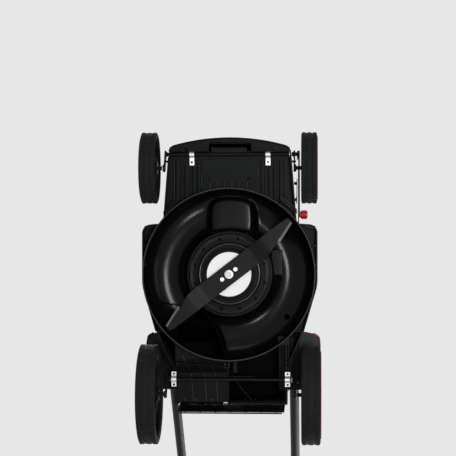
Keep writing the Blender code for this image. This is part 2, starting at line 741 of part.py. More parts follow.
def deck_shell():
    """Chamber, tray with skirt, rear walls, tunnel, bosses and ribs in one casting."""
    sides = 48
    line = chamber_line()
    outer = thick_path(line + [(0.0, PLATEAU_Z)], -DECK_WALL)[len(line) + 1:]
    outer[0] = (0.0, outer[0][1])
    solid = turned(outer + [(0.0, RIM_Z)], sides)
    air = turned([(0.0, RIM_Z - 0.03)] + [(line[0][0], RIM_Z - 0.03)] + line + [(0.0, PLATEAU_Z)], sides)

    waist = [
        (WAIST_HALF + 1.0 * MM, WAIST_Y, 0.0),
        (0.0, WAIST_Y, 0.0),
    ]
    plan = body_plan(waist)
    tray = prism(plan, SKIRT_Z, TRAY_TOP)
    hollow = prism(inset(plan, TRAY_WALL), SKIRT_Z - 0.02, TRAY_TOP - TRAY_WALL)
    tray = cut(tray, hollow)

    neck_y = TUNNEL_NECK_REACH - DECK_R
    duct_side = [
        (neck_y, TRAY_TOP),
        (neck_y, TUNNEL_NECK_Z),
        (TUNNEL_SLOPE_REACH - DECK_R, TUNNEL_ROOF),
        (TAIL_Y + TUNNEL_WALL, TUNNEL_ROOF),
        (TAIL_Y + TUNNEL_WALL, TRAY_TOP),
    ]
    duct = prism(inset(duct_side, -TUNNEL_WALL), TUNNEL_LEFT, TUNNEL_RIGHT, "X")
    duct_air_side = [
        (neck_y + 1.0 * MM, MOUTH_Z),
        (neck_y + 1.0 * MM, TUNNEL_NECK_Z + 0.5 * MM),
        duct_side[2],
        (TAIL_Y - CUT, TUNNEL_ROOF),
        (TAIL_Y - CUT, MOUTH_Z - CUT),
        (-DECK_R - DECK_WALL / 2, MOUTH_Z - CUT),
        (-DECK_R - DECK_WALL / 2, MOUTH_Z),
    ]
    duct_air = prism(duct_air_side, TUNNEL_LEFT + TUNNEL_WALL, TUNNEL_RIGHT - TUNNEL_WALL, "X")

    rod_top = REAR_PIVOT[1] + ROD_R + ROD_CLEARANCE
    wall_trim = [
        (WAIST_Y - WALL_SLOPE_START, WALL_FOOT - CUT),
        (WAIST_Y - WALL_SLOPE_START, WALL_FOOT),
        (REAR_PIVOT[0] + WALL_SLOPE_END, rod_top),
        (TAIL_Y - CUT, rod_top),
        (TAIL_Y - CUT, WALL_FOOT - CUT),
    ]
    duct = cut(duct, prism(wall_trim, -SIDE_HALF, SIDE_HALF, "X"))
    steps = [("UNION", solid), ("UNION", duct)]
    for side in (1, -1):
        run = rounded(
            [
                (WAIST_HALF + 0.4 * MM, WAIST_Y + REAR_WALL, 0.0),
                (TAIL_HALF, TAIL_START_Y, 30.0 * MM),
                (TAIL_HALF, TAIL_Y + TUNNEL_WALL, 0.0),
            ]
        )
        wall = prism([(side * x, y) for x, y in thick_path(run, -REAR_WALL)], WALL_FOOT, WALL_TOP)
        saddle_x = side * REAR_CLIP_X
        saddle = box(
            (saddle_x - SADDLE_HALF, REAR_PIVOT[0] - SADDLE_REACH, rod_top),
            (saddle_x + SADDLE_HALF, REAR_PIVOT[0] + SADDLE_REACH, rod_top + SADDLE_HEIGHT),
        )
        steps.append(("UNION", cut(wall, prism(wall_trim, -SIDE_HALF, SIDE_HALF, "X"))))
        steps.append(("UNION", saddle))
    panel_half = TAIL_HALF - HOOD_WALL - 2 * GAP
    panel = box(
        (-panel_half, TAIL_Y + TUNNEL_WALL, WALL_TOP - 8.0 * MM),
        (panel_half, TAIL_Y + TUNNEL_WALL + REAR_PANEL, TUNNEL_ROOF + TUNNEL_WALL),
    )
    steps.append(("UNION", panel))
    lower_bar = box(
        (-TAIL_HALF + 1.0 * MM, TAIL_Y + TUNNEL_WALL, TUNNEL_FLOOR + GAP),
        (TUNNEL_LEFT + 1.0 * MM, TAIL_Y + TUNNEL_WALL + REAR_PANEL, WALL_TOP - 7.0 * MM),
    )
    steps.append(("UNION", lower_bar))

    nose_pocket = box(
        (-RECESS_HALF - TRAY_WALL, FRONT_PIVOT[0] + ROD_R + 2.0 * MM, TRAY_TOP - 2.0 * MM),
        (RECESS_HALF + TRAY_WALL, NOSE_Y - 4 * TRAY_WALL, TRAY_TOP + RECESS_DEPTH + TRAY_WALL),
    )
    steps.append(("UNION", nose_pocket))
    rib_front = FRONT_PIVOT[0] - ROD_R - 7.0 * MM
    for side in (1, -1):
        for rib_inset in NOSE_RIB_INSETS:
            x = side * (NOSE_HALF - rib_inset)
            low = (x - RIB_HALF, rib_front - RIB_LENGTH, RIB_Z)
            steps.append(("UNION", box(low, (x + RIB_HALF, rib_front, TRAY_TOP - 1.0 * MM))))
    ridge_front = FRONT_PIVOT[0] - ROD_R - PLATE_LENGTH - 10.0 * MM
    for number in range(RIDGES):
        x = (number - (RIDGES - 1) / 2) * RIDGE_PITCH
        low = (x - RIB_HALF, ridge_front - RIDGE_LENGTH, RIB_Z + 1.0 * MM)
        steps.append(("UNION", box(low, (x + RIB_HALF, ridge_front, TRAY_TOP - 1.0 * MM))))
    shell = combined(tray, *steps)

    bulge_front = DECK_R - BULGE_INSET
    bulge_back = bulge_front - BULGE_LENGTH
    bulge_middle = (bulge_front + bulge_back) / 2
    bulge = prism(
        rounded(
            [
                (-BULGE_LEFT, bulge_middle, 0.0),
                (-BULGE_LEFT, bulge_front, 10.0 * MM),
                (BULGE_RIGHT, bulge_front, 10.0 * MM),
                (BULGE_RIGHT, bulge_back, 14.0 * MM),
                (-BULGE_LEFT, bulge_back, 14.0 * MM),
                (-BULGE_LEFT, bulge_middle, 0.0),
            ]
        )[:-1],
        BULGE_Z,
        CROWN_Z - DECK_WALL,
    )
    bulge_air = box(
        (-BULGE_LEFT + DECK_WALL, bulge_back + 4.0 * MM, BULGE_Z + DECK_WALL),
        (BULGE_RIGHT - DECK_WALL, bulge_front - 4.0 * MM, CROWN_Z + CUT),
    )
    boss = box(
        (-BOSS_X - BOSS_HALF, BOSS_BACK, BOSS_Z),
        (-BOSS_X + BOSS_HALF, BOSS_FRONT, CROWN_Z - 1.0 * MM),
    )
    pocket = box(
        (-RECESS_HALF, FRONT_PIVOT[0] + 2 * ROD_R, SKIRT_Z - CUT),
        (RECESS_HALF, NOSE_Y - 5 * TRAY_WALL, TRAY_TOP + RECESS_DEPTH),
    )
    rod_slot = box(
        (-SIDE_HALF, FRONT_PIVOT[0] - ROD_R - 1.5 * MM, SKIRT_Z - CUT),
        (SIDE_HALF, FRONT_PIVOT[0] + ROD_R + 1.5 * MM, FRONT_PIVOT[1] + ROD_R + 1.0 * MM),
    )
    motor_hole = rod((0.0, 0.0, PLATEAU_Z - CUT), (0.0, 0.0, PLATEAU_Z + CUT), MOTOR_HOLE_R, 48)
    drain_x = DRAIN_REACH * math.cos(DRAIN_ANGLE)
    drain_y = DRAIN_REACH * math.sin(DRAIN_ANGLE)
    drain = rod((drain_x, drain_y, CROWN_Z - 2 * CUT), (drain_x, drain_y, CROWN_Z + CUT), DRAIN_R, 16)
    link_slot = box(
        (-LEVER_X - LINK_SLOT_WIDTH, WAIST_Y - 55.0 * MM, WALL_TOP - 24.0 * MM),
        (-LEVER_X + 1.0 * MM, WAIST_Y - 8.0 * MM, WALL_TOP + CUT),
    )
    shell = combined(
        shell,
        ("DIFFERENCE", air),
        ("DIFFERENCE", duct_air),
        ("UNION", bulge),
        ("DIFFERENCE", bulge_air),
        ("UNION", boss),
        ("DIFFERENCE", pocket),
        ("DIFFERENCE", rod_slot),
        ("DIFFERENCE", motor_hole),
        ("DIFFERENCE", drain),
        ("DIFFERENCE", link_slot),
    )
    return shell


def tunnel_floor():
    """Ribbed plate under the discharge tunnel, from the chamber's rim up to the tail."""
    ramp_front = -DECK_R + DECK_WALL / 2
    path = [
        (ramp_front + FLOOR_OVERLAP, FLOOR_MOUTH_Z),
        (ramp_front, FLOOR_MOUTH_Z),
        (ramp_front - FLOOR_RAMP, TUNNEL_FLOOR - FLOOR_THICK),
        (TAIL_Y + 2 * REAR_PANEL, TUNNEL_FLOOR - FLOOR_THICK),
    ]
    x_low = TUNNEL_LEFT + TUNNEL_WALL + GAP
    x_high = TUNNEL_RIGHT - TUNNEL_WALL - GAP
    plate = prism(thick_path(path, -FLOOR_THICK), x_low, x_high, "X")
    ribs = []
    for number in range(FLOOR_RIBS):
        x = x_low + (x_high - x_low) * (number + 0.5) / FLOOR_RIBS
        under = [(y, z + FLOOR_THICK / 5) for y, z in path]
        ribs.append(prism(thick_path(under, FLOOR_RIB_DEPTH), x - FLOOR_RIB_HALF, x + FLOOR_RIB_HALF, "X"))
    plate = join(plate, *ribs)
    chamber = rod((0.0, 0.0, RIM_Z), (0.0, 0.0, TUNNEL_ROOF), DECK_R + GAP, 112)
    return cut(plate, chamber)


def hood():
    """Upper cover: vertical flanks on the deck's plan, a sloping roof and two rear shoulders."""
    tail = [
        (WAIST_HALF, WAIST_Y, 25.0 * MM),
        (TAIL_HALF, TAIL_START_Y, 60.0 * MM),
        (TAIL_HALF, TAIL_Y, 0.0),
    ]
    edge_steps = 2
    stations = [y for y, z in ROOF_LINE[1:-1]]
    plan = with_stations(body_plan(tail), stations)

    def skin(margin, bottom):
        rows = [[(x, y, bottom) for x, y in inset(plan, margin)]]
        for step in range(edge_steps + 1):
            angle = math.pi / 2 * step / edge_steps
            shrink = HOOD_EDGE_R * (1 - math.cos(angle))
            drop = HOOD_EDGE_R * (1 - math.sin(angle))
            moved = inset(plan, margin + shrink)
            rows.append([(x, y, roof_z(y) - margin - drop) for x, y in moved])
        bm = bmesh.new()
        made = [[bm.verts.new(point) for point in row] for row in rows]
        count = len(plan)
        for lower, upper in zip(made, made[1:]):
            for index in range(count):
                after = (index + 1) % count
                bm.faces.new((lower[index], lower[after], upper[after], upper[index]))
        bm.faces.new(made[0])
        top = made[-1]
        right = top[1:count // 2 + 1]
        left = top[:count // 2:-1]
        bm.faces.new((top[0], right[0], left[0]))
        for index in range(len(right) - 1):
            bm.faces.new((right[index], right[index + 1], left[index + 1], left[index]))
        bmesh.ops.recalc_face_normals(bm, faces=bm.faces)
        return bm

    shell = cut(skin(0.0, TRAY_TOP + GAP), skin(HOOD_WALL, TRAY_TOP - CUT / 2))
    wings = []
    for side in (1, -1):
        wings.append(prism([(side * x, y) for x, y in shoulder_plan()], SHOULDER_LOW, SHOULDER_HIGH))
        ear_top = HANDLE_Z + EAR_RISE
        ear_foot = (SHOULDER_LOW + SHOULDER_HIGH) / 2
        ear = rounded(
            [
                (HANDLE_Y + EAR_HALF, ear_foot, 0.0),
                (HANDLE_Y + EAR_RISE, ear_top, 14.0 * MM),
                (HANDLE_Y - EAR_RISE, ear_top, 14.0 * MM),
                (HANDLE_Y - EAR_HALF, ear_foot, 0.0),
            ]
        )
        x_low = LOWER_X + HANDLE_TUBE_R + GAP
        low, high = sorted((side * x_low, side * (x_low + EAR_THICK)))
        wings.append(prism(ear, low, high, "X"))
    shell = join(shell, *wings)
    foot = box(
        (-SIDE_HALF - CUT, TAIL_Y - CUT, WALL_FOOT),
        (SIDE_HALF + CUT, WAIST_Y + 6.0 * MM, WALL_TOP + GAP),
    )
    rear_half = TAIL_HALF - REAR_WALL
    rear = box(
        (-rear_half, TAIL_Y - CUT, TRAY_TOP + CUT),
        (rear_half, TAIL_Y + 2 * REAR_PANEL, TUNNEL_ROOF + TUNNEL_WALL + GAP),
    )
    bay_edge = 2 * BAY_WALL
    bay = box(
        (-BAY_HALF - bay_edge, BAY_BACK - 2 * bay_edge, BAY_TOP - 2 * CUT),
        (BAY_HALF + bay_edge, BAY_FRONT - 2.0 * MM, BAY_TOP + 4 * CUT),
    )
    link_slope = (REAR_LINK[1] - FRONT_LINK[1]) / (FRONT_LINK[0] - REAR_LINK[0])
    link_z = FRONT_LINK[1] + link_slope * (FRONT_LINK[0] - STEP_Y)
    link_slot = box(
        (-LEVER_X - LINK_SLOT_WIDTH, STEP_Y - 10.0 * MM, link_z - LINK_SLOT_BELOW),
        (-LEVER_X + 0.5 * MM, STEP_Y + 6.0 * MM, link_z + LINK_SLOT_ABOVE),
    )
    bolt_hole = rod(
        (-SIDE_HALF - CUT, HANDLE_Y, HANDLE_Z),
        (SIDE_HALF + CUT, HANDLE_Y, HANDLE_Z),
        BOLT_SHANK_R + GAP,
        12,
    )
    shell = cut(shell, foot, rear, bay, link_slot, bolt_hole)
    y, z = FLAP_PIVOT
    lugs = []
    for side in (1, -1):
        low, high = sorted((side * (FLAP_HALF + 2 * GAP), side * (TAIL_HALF - 0.4 * MM)))
        lug_low = (low, y - KNUCKLE_R, z - KNUCKLE_R - 4.5 * MM)
        lugs.append(box(lug_low, (high, y + FLAP_BACK + KNUCKLE_R, z + KNUCKLE_R)))
    pin_hole = rod((-SIDE_HALF, y, z), (SIDE_HALF, y, z), FLAP_PIN_R + GAP, 12)
    return cut(join(shell, *lugs), pin_hole)


def shoulder_plan():
    """Right rear shoulder, which reaches out over the rear wheel."""
    outer = SIDE_HALF + SHOULDER_MARGIN
    front = WAIST_Y - SHOULDER_FRONT
    inner = outer - SHOULDER_WIDTH
    back = WAIST_Y - REAR_WALL - SHOULDER_LENGTH
    return [
        (inner, WAIST_Y - REAR_WALL),
        (outer - 43.0 * MM, front),
        (outer - 20.0 * MM, front - 8.0 * MM),
        (outer - 4.0 * MM, front - 21.0 * MM),
        (outer, front - 36.0 * MM),
        (outer, back),
        (inner, back),
    ]


def shoulder_trim(side):
    """Red edge of a rear shoulder, with its tip wrapped round the front corner."""
    edge = [Vector(point) for point in shoulder_plan()[2:6]]
    inner = [(point.x, point.y) for point in edge]
    inner = [(inner[0][0] + 1.0 * MM, inner[0][1] + GAP)] + [(x + GAP, y + GAP) for x, y in inner[1:]]
    face = edge[-1].x + TRIM_WIDTH
    outer = [
        (edge[0].x + 1.0 * MM, edge[0].y + 8.0 * MM),
        (edge[1].x + 5.0 * MM, edge[1].y + 10.0 * MM),
        (face, edge[2].y + 8.0 * MM),
        (face, edge[3].y),
    ]
    outline = inner + outer[::-1]
    return prism([(side * x, y) for x, y in outline], TRIM_LOW, TRIM_HIGH)


def motor_flange():
    """Stepped round plate that closes the chamber's middle and carries the motor."""
    bore = BEARING_R + GAP
    profile = [
        (bore, FLANGE_TOP),
        (bore, FLANGE_Z),
        (FLANGE_STEP_R, FLANGE_Z),
        (FLANGE_STEP_R + 2.0 * MM, FLANGE_Z + FLANGE_STEP),
        (FLANGE_RIM_R, FLANGE_Z + FLANGE_STEP),
        (FLANGE_RIM_R + 1.5 * MM, FLANGE_Z + 1.75 * FLANGE_STEP),
        (FLANGE_R, FLANGE_Z + 2 * FLANGE_STEP),
        (FLANGE_R, FLANGE_TOP),
    ]
    plate = turned(profile, 36)
    holes = []
    for number in range(FLANGE_HOLES):
        angle = FLANGE_HOLE_START + 2 * math.pi * number / FLANGE_HOLES
        x = -FLANGE_HOLE_RING * math.cos(angle)
        y = FLANGE_HOLE_RING * math.sin(angle)
        holes.append(rod((x, y, FLANGE_Z - CUT), (x, y, FLANGE_TOP + CUT), FLANGE_HOLE_R, 6))
    return cut(plate, *holes)


def motor_can():
    bore = BEARING_R + GAP
    under_lid = CAN_TOP - BEARING_WIDTH
    profile = [
        (CAN_R, PLATEAU_Z),
        (CAN_R, CAN_TOP),
        (bore, CAN_TOP),
        (bore, under_lid),
        (CAN_R - CAN_WALL, under_lid),
        (CAN_R - CAN_WALL, PLATEAU_Z),
    ]
    return turned(profile, 32)


def blade_point(u, v, z):
    """A point in the blade's own directions: u along it, v across it."""
    cosine = math.cos(BLADE_ANGLE)
    sine = math.sin(BLADE_ANGLE)
    return (u * cosine - v * sine, u * sine + v * cosine, z)


def blade():
    """Flat bar with dropped ends, a tapered trailing side and an upturned sail at each tip."""
    half = BLADE_WIDTH / 2
    tip = BLADE_LENGTH / 2
    sail_start = tip - SAIL_LENGTH
    bend = BLADE_WIDTH / 6
    stations = [
        (0.0, 0.0, half, 0.0, 0.0),
        (DROP_START, bend, half, 0.0, 0.0),
        (DROP_END, bend, half, BLADE_DROP, 0.0),
        (sail_start - 14.0 * MM, bend, half - 1.0 * MM, BLADE_DROP, 0.0),
        (sail_start, bend, half - 10.0 * MM, BLADE_DROP, 1.0 * MM),
        (sail_start + 4.0 * MM, bend, half - 4.0 * MM, BLADE_DROP, SAIL_LIFT),
        (tip - 6.0 * MM, bend, half - 7.0 * MM, BLADE_DROP, SAIL_LIFT),
        (tip, bend, half - 11.0 * MM, BLADE_DROP, SAIL_LIFT),
    ]
    rows = []
    for sign in (-1, 1):
        chosen = stations[:0:-1] if sign < 0 else stations
        for u, fold, trail, drop, lift in chosen:
            lead = half - (TIP_CHAMFER if u > tip - 1.0 * MM else 0.0)
            low = BLADE_BOTTOM - drop
            high = BLADE_TOP - drop
            across = [(-lead, 0.0), (fold, 0.0), (trail, lift)]
            if sign < 0:
                across = [(-v, raised) for v, raised in reversed(across)]
            row = [blade_point(sign * u, v, low + raised) for v, raised in across]
            row += [blade_point(sign * u, v, high + raised) for v, raised in reversed(across)]
            rows.append(row)
    body = loft(rows)
    low = BLADE_BOTTOM - CUT
    high = BLADE_TOP + CUT
    holes = [rod((0.0, 0.0, low), (0.0, 0.0, high), BOLT_STUD_R + GAP, 16)]
    for side in (1, -1):
        x, y, z = blade_point(side * PIN_REACH, 0.0, low)
        holes.append(rod((x, y, low), (x, y, high), PIN_R + GAP, 16))
    return cut(body, *holes)


def blade_disc():
    disc = turned(
        [
            (BOLT_STUD_R + GAP, DISC_BOTTOM),
            (DISC_R, DISC_BOTTOM),
            (DISC_R, DISC_TOP),
            (BOLT_STUD_R + GAP, DISC_TOP),
        ],
        32,
    )
    holes = []
    for side in (1, -1):
        x, y, z = blade_point(side * PIN_REACH, 0.0, DISC_BOTTOM)
        holes.append(rod((x, y, DISC_BOTTOM - CUT), (x, y, DISC_TOP + CUT), PIN_R + GAP, 16))
    return cut(disc, *holes)


def blade_bolt():
    head = BLADE_BOTTOM - GAP
    profile = [
        (0.0, head - BOLT_HEAD),
        (BOLT_HEX_R - 1.0 * MM, head - BOLT_HEAD),
        (BOLT_HEX_R, head - BOLT_HEAD + 1.0 * MM),
        (BOLT_HEX_R, head - 2.5 * MM),
        (BOLT_R, head - 2.0 * MM),
        (BOLT_R, head),
        (BOLT_STUD_R, head),
        (BOLT_STUD_R, DISC_TOP + BOLT_DEPTH),
        (0.0, DISC_TOP + BOLT_DEPTH),
    ]
    return turned(profile, 20)


def motor_shaft():
    low = DISC_TOP + GAP
    bore_end = low + BOLT_DEPTH + 2.0 * MM
    profile = [
        (BOLT_STUD_R + GAP, low),
        (SHAFT_BOSS_R, low),
        (SHAFT_BOSS_R, low + 6.0 * MM),
        (SHAFT_R, low + 8.0 * MM),
        (SHAFT_R, CAN_TOP - 1.0 * MM),
        (0.0, CAN_TOP - 1.0 * MM),
        (0.0, bore_end),
        (BOLT_STUD_R + GAP, bore_end),
    ]
    return turned(profile, 20)


def tyre(radius, width):
    """Tyre about X, from x = 0 outwards, with a slightly crowned tread."""
    bead = radius * RIM_SHARE
    profile = [
        (bead, 0.12 * width),
        (radius - 7.0 * MM, 0.0),
        (radius - 1.5 * MM, 0.10 * width),
        (radius, 0.35 * width),
        (radius, 0.65 * width),
        (radius - 1.5 * MM, 0.90 * width),
        (radius - 7.0 * MM, width),
        (bead, 0.88 * width),
    ]
    return turned(profile, WHEEL_SIDES)


def rim(radius, width):
    """Wheel body: hub with a bore, dished web and an outer barrel under the tyre."""
    outer = radius * RIM_SHARE - GAP
    barrel = outer - 4.0 * MM
    bore = ROD_R + GAP
    profile = [
        (bore, 1.0 * MM),
        (HUB_R, 1.0 * MM),
        (HUB_R, 0.48 * width),
        (barrel, 0.36 * width),
        (outer, 0.14 * width),
        (outer, 0.86 * width),
        (barrel, 0.48 * width),
        (HUB_R, 0.62 * width),
        (HUB_R, 0.92 * width),
        (bore, 0.92 * width),
    ]
    return turned(profile, WHEEL_SIDES)


def trim_ring(radius, width):
    """Red ring that sits on the outer edge of the rim."""
    outer = radius * RIM_SHARE - GAP
    low = 0.86 * width + GAP
    profile = [
        (outer - TRIM_RING, low),
        (outer - GAP, low),
        (outer - GAP, 0.90 * width),
        (outer + 5.0 * MM, width + 1.0 * MM),
        (outer - TRIM_RING, width),
    ]
    return turned(profile, WHEEL_SIDES)


def placed_wheel_part(bm, side, y, radius):
    """Turn a part that was made about Z so that its axle lies along X, with a flat facet below."""
    facet = 1 / math.cos(math.pi / WHEEL_SIDES)
    half_step = Matrix.Rotation(math.pi / WHEEL_SIDES, 4, "Z")
    turn = Matrix.Rotation(side * math.pi / 2, 4, "Y")
    place = Matrix.Translation((side * WHEEL_INNER_X, y, radius))
    spread = Matrix.Diagonal((facet, facet, 1.0, 1.0))
    bmesh.ops.transform(bm, verts=bm.verts, matrix=place @ turn @ half_step @ spread)
    return bm


def axle(pivot, wheel_y, wheel_r, wheel_width, left):
    """Cranked axle: a cross rod, two crank plates and two wheel stubs."""
    right = CRANK_X + CRANK_THICK
    parts = [rod((left, *pivot), (right, *pivot), ROD_R, 12)]
    for side in (1, -1):
        low, high = sorted((side * CRANK_X, side * (CRANK_X + CRANK_THICK)))
        parts.append(bar(pivot, CRANK, CRANK_ANGLE, CRANK_WIDTH, low, high))
        near = side * (CRANK_X + 0.5 * MM)
        far = side * (WHEEL_INNER_X + wheel_width - 0.5 * MM)
        parts.append(rod((near, wheel_y, wheel_r), (far, wheel_y, wheel_r), ROD_R, 12))
    return parts


def front_axle():
    left = -(ARM_X + LEVER_THICK)
    return join(*axle(FRONT_PIVOT, FRONT_WHEEL_Y, FRONT_WHEEL_R, FRONT_WHEEL_WIDTH, left))


def rear_axle():
    high = -LEVER_X
    low = high - LEVER_THICK
    parts = axle(REAR_PIVOT, REAR_WHEEL_Y, REAR_WHEEL_R, REAR_WHEEL_WIDTH, low)
    parts.append(bar(REAR_PIVOT, ARM_LENGTH, ARM_ANGLE, ARM_WIDTH, low, high))
    hole = rod((low - CUT, *REAR_LINK), (high + CUT, *REAR_LINK), LINK_PIN_R + LINK_PLAY, 16)
    return cut(join(*parts), hole)


def height_lever():
    """Bell crank: the short arm lies inside the link, and the long arm outside it."""
    low = -(ARM_X + LEVER_THICK)
    high = -LEVER_X
    plate = join(
        bar(FRONT_PIVOT, LEVER_LENGTH, LEVER_ANGLE, LEVER_WIDTH, low, low + LEVER_THICK),
        rod((low, *FRONT_PIVOT), (high, *FRONT_PIVOT), ROD_R + LEVER_HUB_WALL, 20),
        bar(FRONT_PIVOT, ARM_LENGTH, ARM_ANGLE, ARM_WIDTH, high - LEVER_THICK, high),
    )
    link_hole = rod(
        (-LINK_X, *FRONT_LINK),
        (high + CUT, *FRONT_LINK),
        LINK_PIN_R + GAP,
        16,
    )
    rod_hole = rod((low - CUT, *FRONT_PIVOT), (high + CUT, *FRONT_PIVOT), ROD_R + GAP, 16)
    return cut(plate, link_hole, rod_hole)


def lever_knob():
    centre = polar(FRONT_PIVOT, LEVER_LENGTH, LEVER_ANGLE)
    start = -(ARM_X + LEVER_THICK + GAP)
    profile = [
        (0.0, 0.0),
        (KNOB_NECK_R, 0.0),
        (KNOB_NECK_R, 2.0 * MM),
        (KNOB_R, 4.0 * MM),
        (KNOB_R, KNOB_LENGTH - 2.5 * MM),
        (KNOB_NECK_R, KNOB_LENGTH),
        (0.0, KNOB_LENGTH),
    ]
    bm = turned(profile, 20)
    place = Matrix.Translation((start, *centre)) @ Matrix.Rotation(-math.pi / 2, 4, "Y")
    bmesh.ops.transform(bm, verts=bm.verts, matrix=place)
    return bm


def link_rod():
    """Flat bar that turns both axles together, with a pin at each end."""
    start = Vector(FRONT_LINK)
    end = Vector(REAR_LINK)
    span = end - start
    high = -LINK_X
    low = high - LINK_THICK
    body = bar(FRONT_LINK, span.length, math.atan2(span.y, span.x), LINK_WIDTH, low, high)
    pins = []
    for place in (start, end):
        pins.append(rod((low + 0.5 * MM, *place), (-LEVER_X + 1.0 * MM, *place), LINK_PIN_R, 12))
    return join(body, *pins)


def height_quadrant():
    """Notched arc plate beside the lever, with two feet that reach the deck's side."""
    outline = arc(FRONT_PIVOT, QUADRANT_INNER, QUADRANT_START, QUADRANT_END, 10)
    base = QUADRANT_OUTER - NOTCH_DEPTH
    for number in range(NOTCHES):
        middle = QUADRANT_END - (QUADRANT_END - QUADRANT_START) * (number + 0.5) / NOTCHES
        for angle, radius in (
            (middle + 2 * NOTCH_HALF_ANGLE, QUADRANT_OUTER),
            (middle + NOTCH_HALF_ANGLE, QUADRANT_OUTER),
            (middle + NOTCH_HALF_ANGLE, base),
            (middle - NOTCH_HALF_ANGLE, base),
            (middle - NOTCH_HALF_ANGLE, QUADRANT_OUTER),
        ):
            outline.append(polar(FRONT_PIVOT, radius, angle))
    plate = prism(outline, -LEVER_X + GAP, -LEVER_X + GAP + LEVER_THICK, "X")
    feet = []
    taper_length = NOSE_Y - NOSE_DEPTH - STEP_Y
    for angle in QUADRANT_FEET:
        y, z = polar(FRONT_PIVOT, QUADRANT_INNER + QUADRANT_FOOT_R + 0.5 * MM, angle)
        side_x = NOSE_HALF + (STEP_HALF - NOSE_HALF) * (NOSE_Y - NOSE_DEPTH - y) / taper_length
        feet.append(rod((-LEVER_X + 1.0 * MM, y, z), (-side_x - 1.0 * MM, y, z), QUADRANT_FOOT_R, 12))
    return join(plate, *feet)


def front_clip(side):
    """Strap with one screw tab behind the rod and a hook round it."""
    x = side * FRONT_CLIP_X
    y, z = FRONT_PIVOT
    reach = ROD_R + CLIP_PLAY
    path = [(y - FRONT_CLIP_TAB, PLATE_TOP), (y - reach - 2.0 * MM, PLATE_TOP)]
    path += arc((y, z), reach, math.pi, 2 * math.pi, 6)
    path.append((y + reach, z + ROD_R))
    strap = prism(thick_path(path, -CLIP_THICK), x - FRONT_CLIP_HALF, x + FRONT_CLIP_HALF, "X")
    hole_y = y - FRONT_CLIP_TAB + 8.0 * MM
    hole = rod((x, hole_y, z - CUT), (x, hole_y, z + CUT), CLIP_HOLE_R, 12)
    return cut(strap, hole)


def rear_clip(side):
    """Saddle strap over the rear rod, with a screw tab on both sides."""
    x = side * REAR_CLIP_X
    y, z = REAR_PIVOT
    reach = ROD_R + CLIP_PLAY
    seat = z + ROD_R + 1.0 * MM
    path = [(y - REAR_CLIP_TAB, seat), (y - reach - CLIP_THICK, seat)]
    path += arc((y, z), reach, math.pi, 2 * math.pi, 6)
    path += [(y + reach + CLIP_THICK, seat), (y + REAR_CLIP_TAB, seat)]
    strap = prism(thick_path(path, -CLIP_THICK), x - REAR_CLIP_HALF, x + REAR_CLIP_HALF, "X")
    holes = []
    for hole_y in (y - CLIP_HOLE_REACH, y + CLIP_HOLE_REACH):
        holes.append(rod((x, hole_y, z - CUT), (x, hole_y, z + CUT), CLIP_HOLE_R, 12))
    return cut(strap, *holes)


def front_plate():
    """Flat cover plate between the ribs of the nose, with two screw holes."""
    front = FRONT_PIVOT[0] - ROD_R - 8.0 * MM
    back = front - PLATE_LENGTH
    plate = box((-PLATE_HALF, back, PLATE_TOP - PLATE_THICK), (PLATE_HALF, front, PLATE_TOP))
    holes = []
    hole_y = back + 8.0 * MM
    for x in (-PLATE_HOLE_X, PLATE_HOLE_X):
        holes.append(rod((x, hole_y, PLATE_TOP - CUT), (x, hole_y, PLATE_TOP + CUT), PLATE_HOLE_R, 12))
    return cut(plate, *holes)


def battery_bay():
    """Open tray on the motor can that holds the battery and the key's slot."""
    low = CAN_TOP + GAP
    outer = box((-BAY_HALF, BAY_BACK, low), (BAY_HALF, BAY_FRONT, BAY_TOP))
    inner = box(
        (-BAY_HALF + BAY_WALL, BAY_BACK + BAY_WALL, low + BAY_WALL),
        (BAY_HALF - BAY_WALL, BAY_FRONT - BAY_WALL, BAY_TOP + CUT),
    )
    block_low = (-KEY_BLOCK_HALF, BAY_BACK + 1.0 * MM, low + 1.0 * MM)
    block = box(block_low, (KEY_BLOCK_HALF, KEY_Y + 14.0 * MM, KEY_BLOCK_TOP))
    slot_half = KEY_HALF + GAP
    slot_depth = KEY_THICK + GAP
    slot = box(
        (-slot_half, KEY_Y - slot_depth, KEY_LOW - 2.0 * MM),
        (slot_half, KEY_Y + slot_depth, KEY_BLOCK_TOP + CUT),
    )
    return combined(outer, ("DIFFERENCE", inner), ("UNION", block), ("DIFFERENCE", slot))


def battery_pack():
    high = PACK_LOW + PACK_HEIGHT
    front = PACK_BACK + PACK_LENGTH
    body = box((-PACK_HALF, PACK_BACK, PACK_LOW), (PACK_HALF, front, high - PACK_GRIP_DEPTH))
    bmesh.ops.bevel(body, geom=body.edges[:], offset=PACK_EDGE, segments=1, affect="EDGES")
    handle = box(
        (-PACK_GRIP_HALF, PACK_BACK + PACK_GRIP_INSET, high - 1.5 * PACK_GRIP_DEPTH),
        (PACK_GRIP_HALF, front - PACK_GRIP_INSET, high),
    )
    return join(body, handle)


def safety_key():
    tongue = box(
        (-KEY_HALF, KEY_Y - KEY_THICK, KEY_LOW),
        (KEY_HALF, KEY_Y + KEY_THICK, KEY_BLOCK_TOP + 8.0 * MM),
    )
    head = box(
        (-KEY_HEAD_HALF, KEY_Y - KEY_HEAD_THICK, KEY_BLOCK_TOP + GAP),
        (KEY_HEAD_HALF, KEY_Y + KEY_HEAD_THICK, KEY_TOP),
    )
    return join(tongue, head)


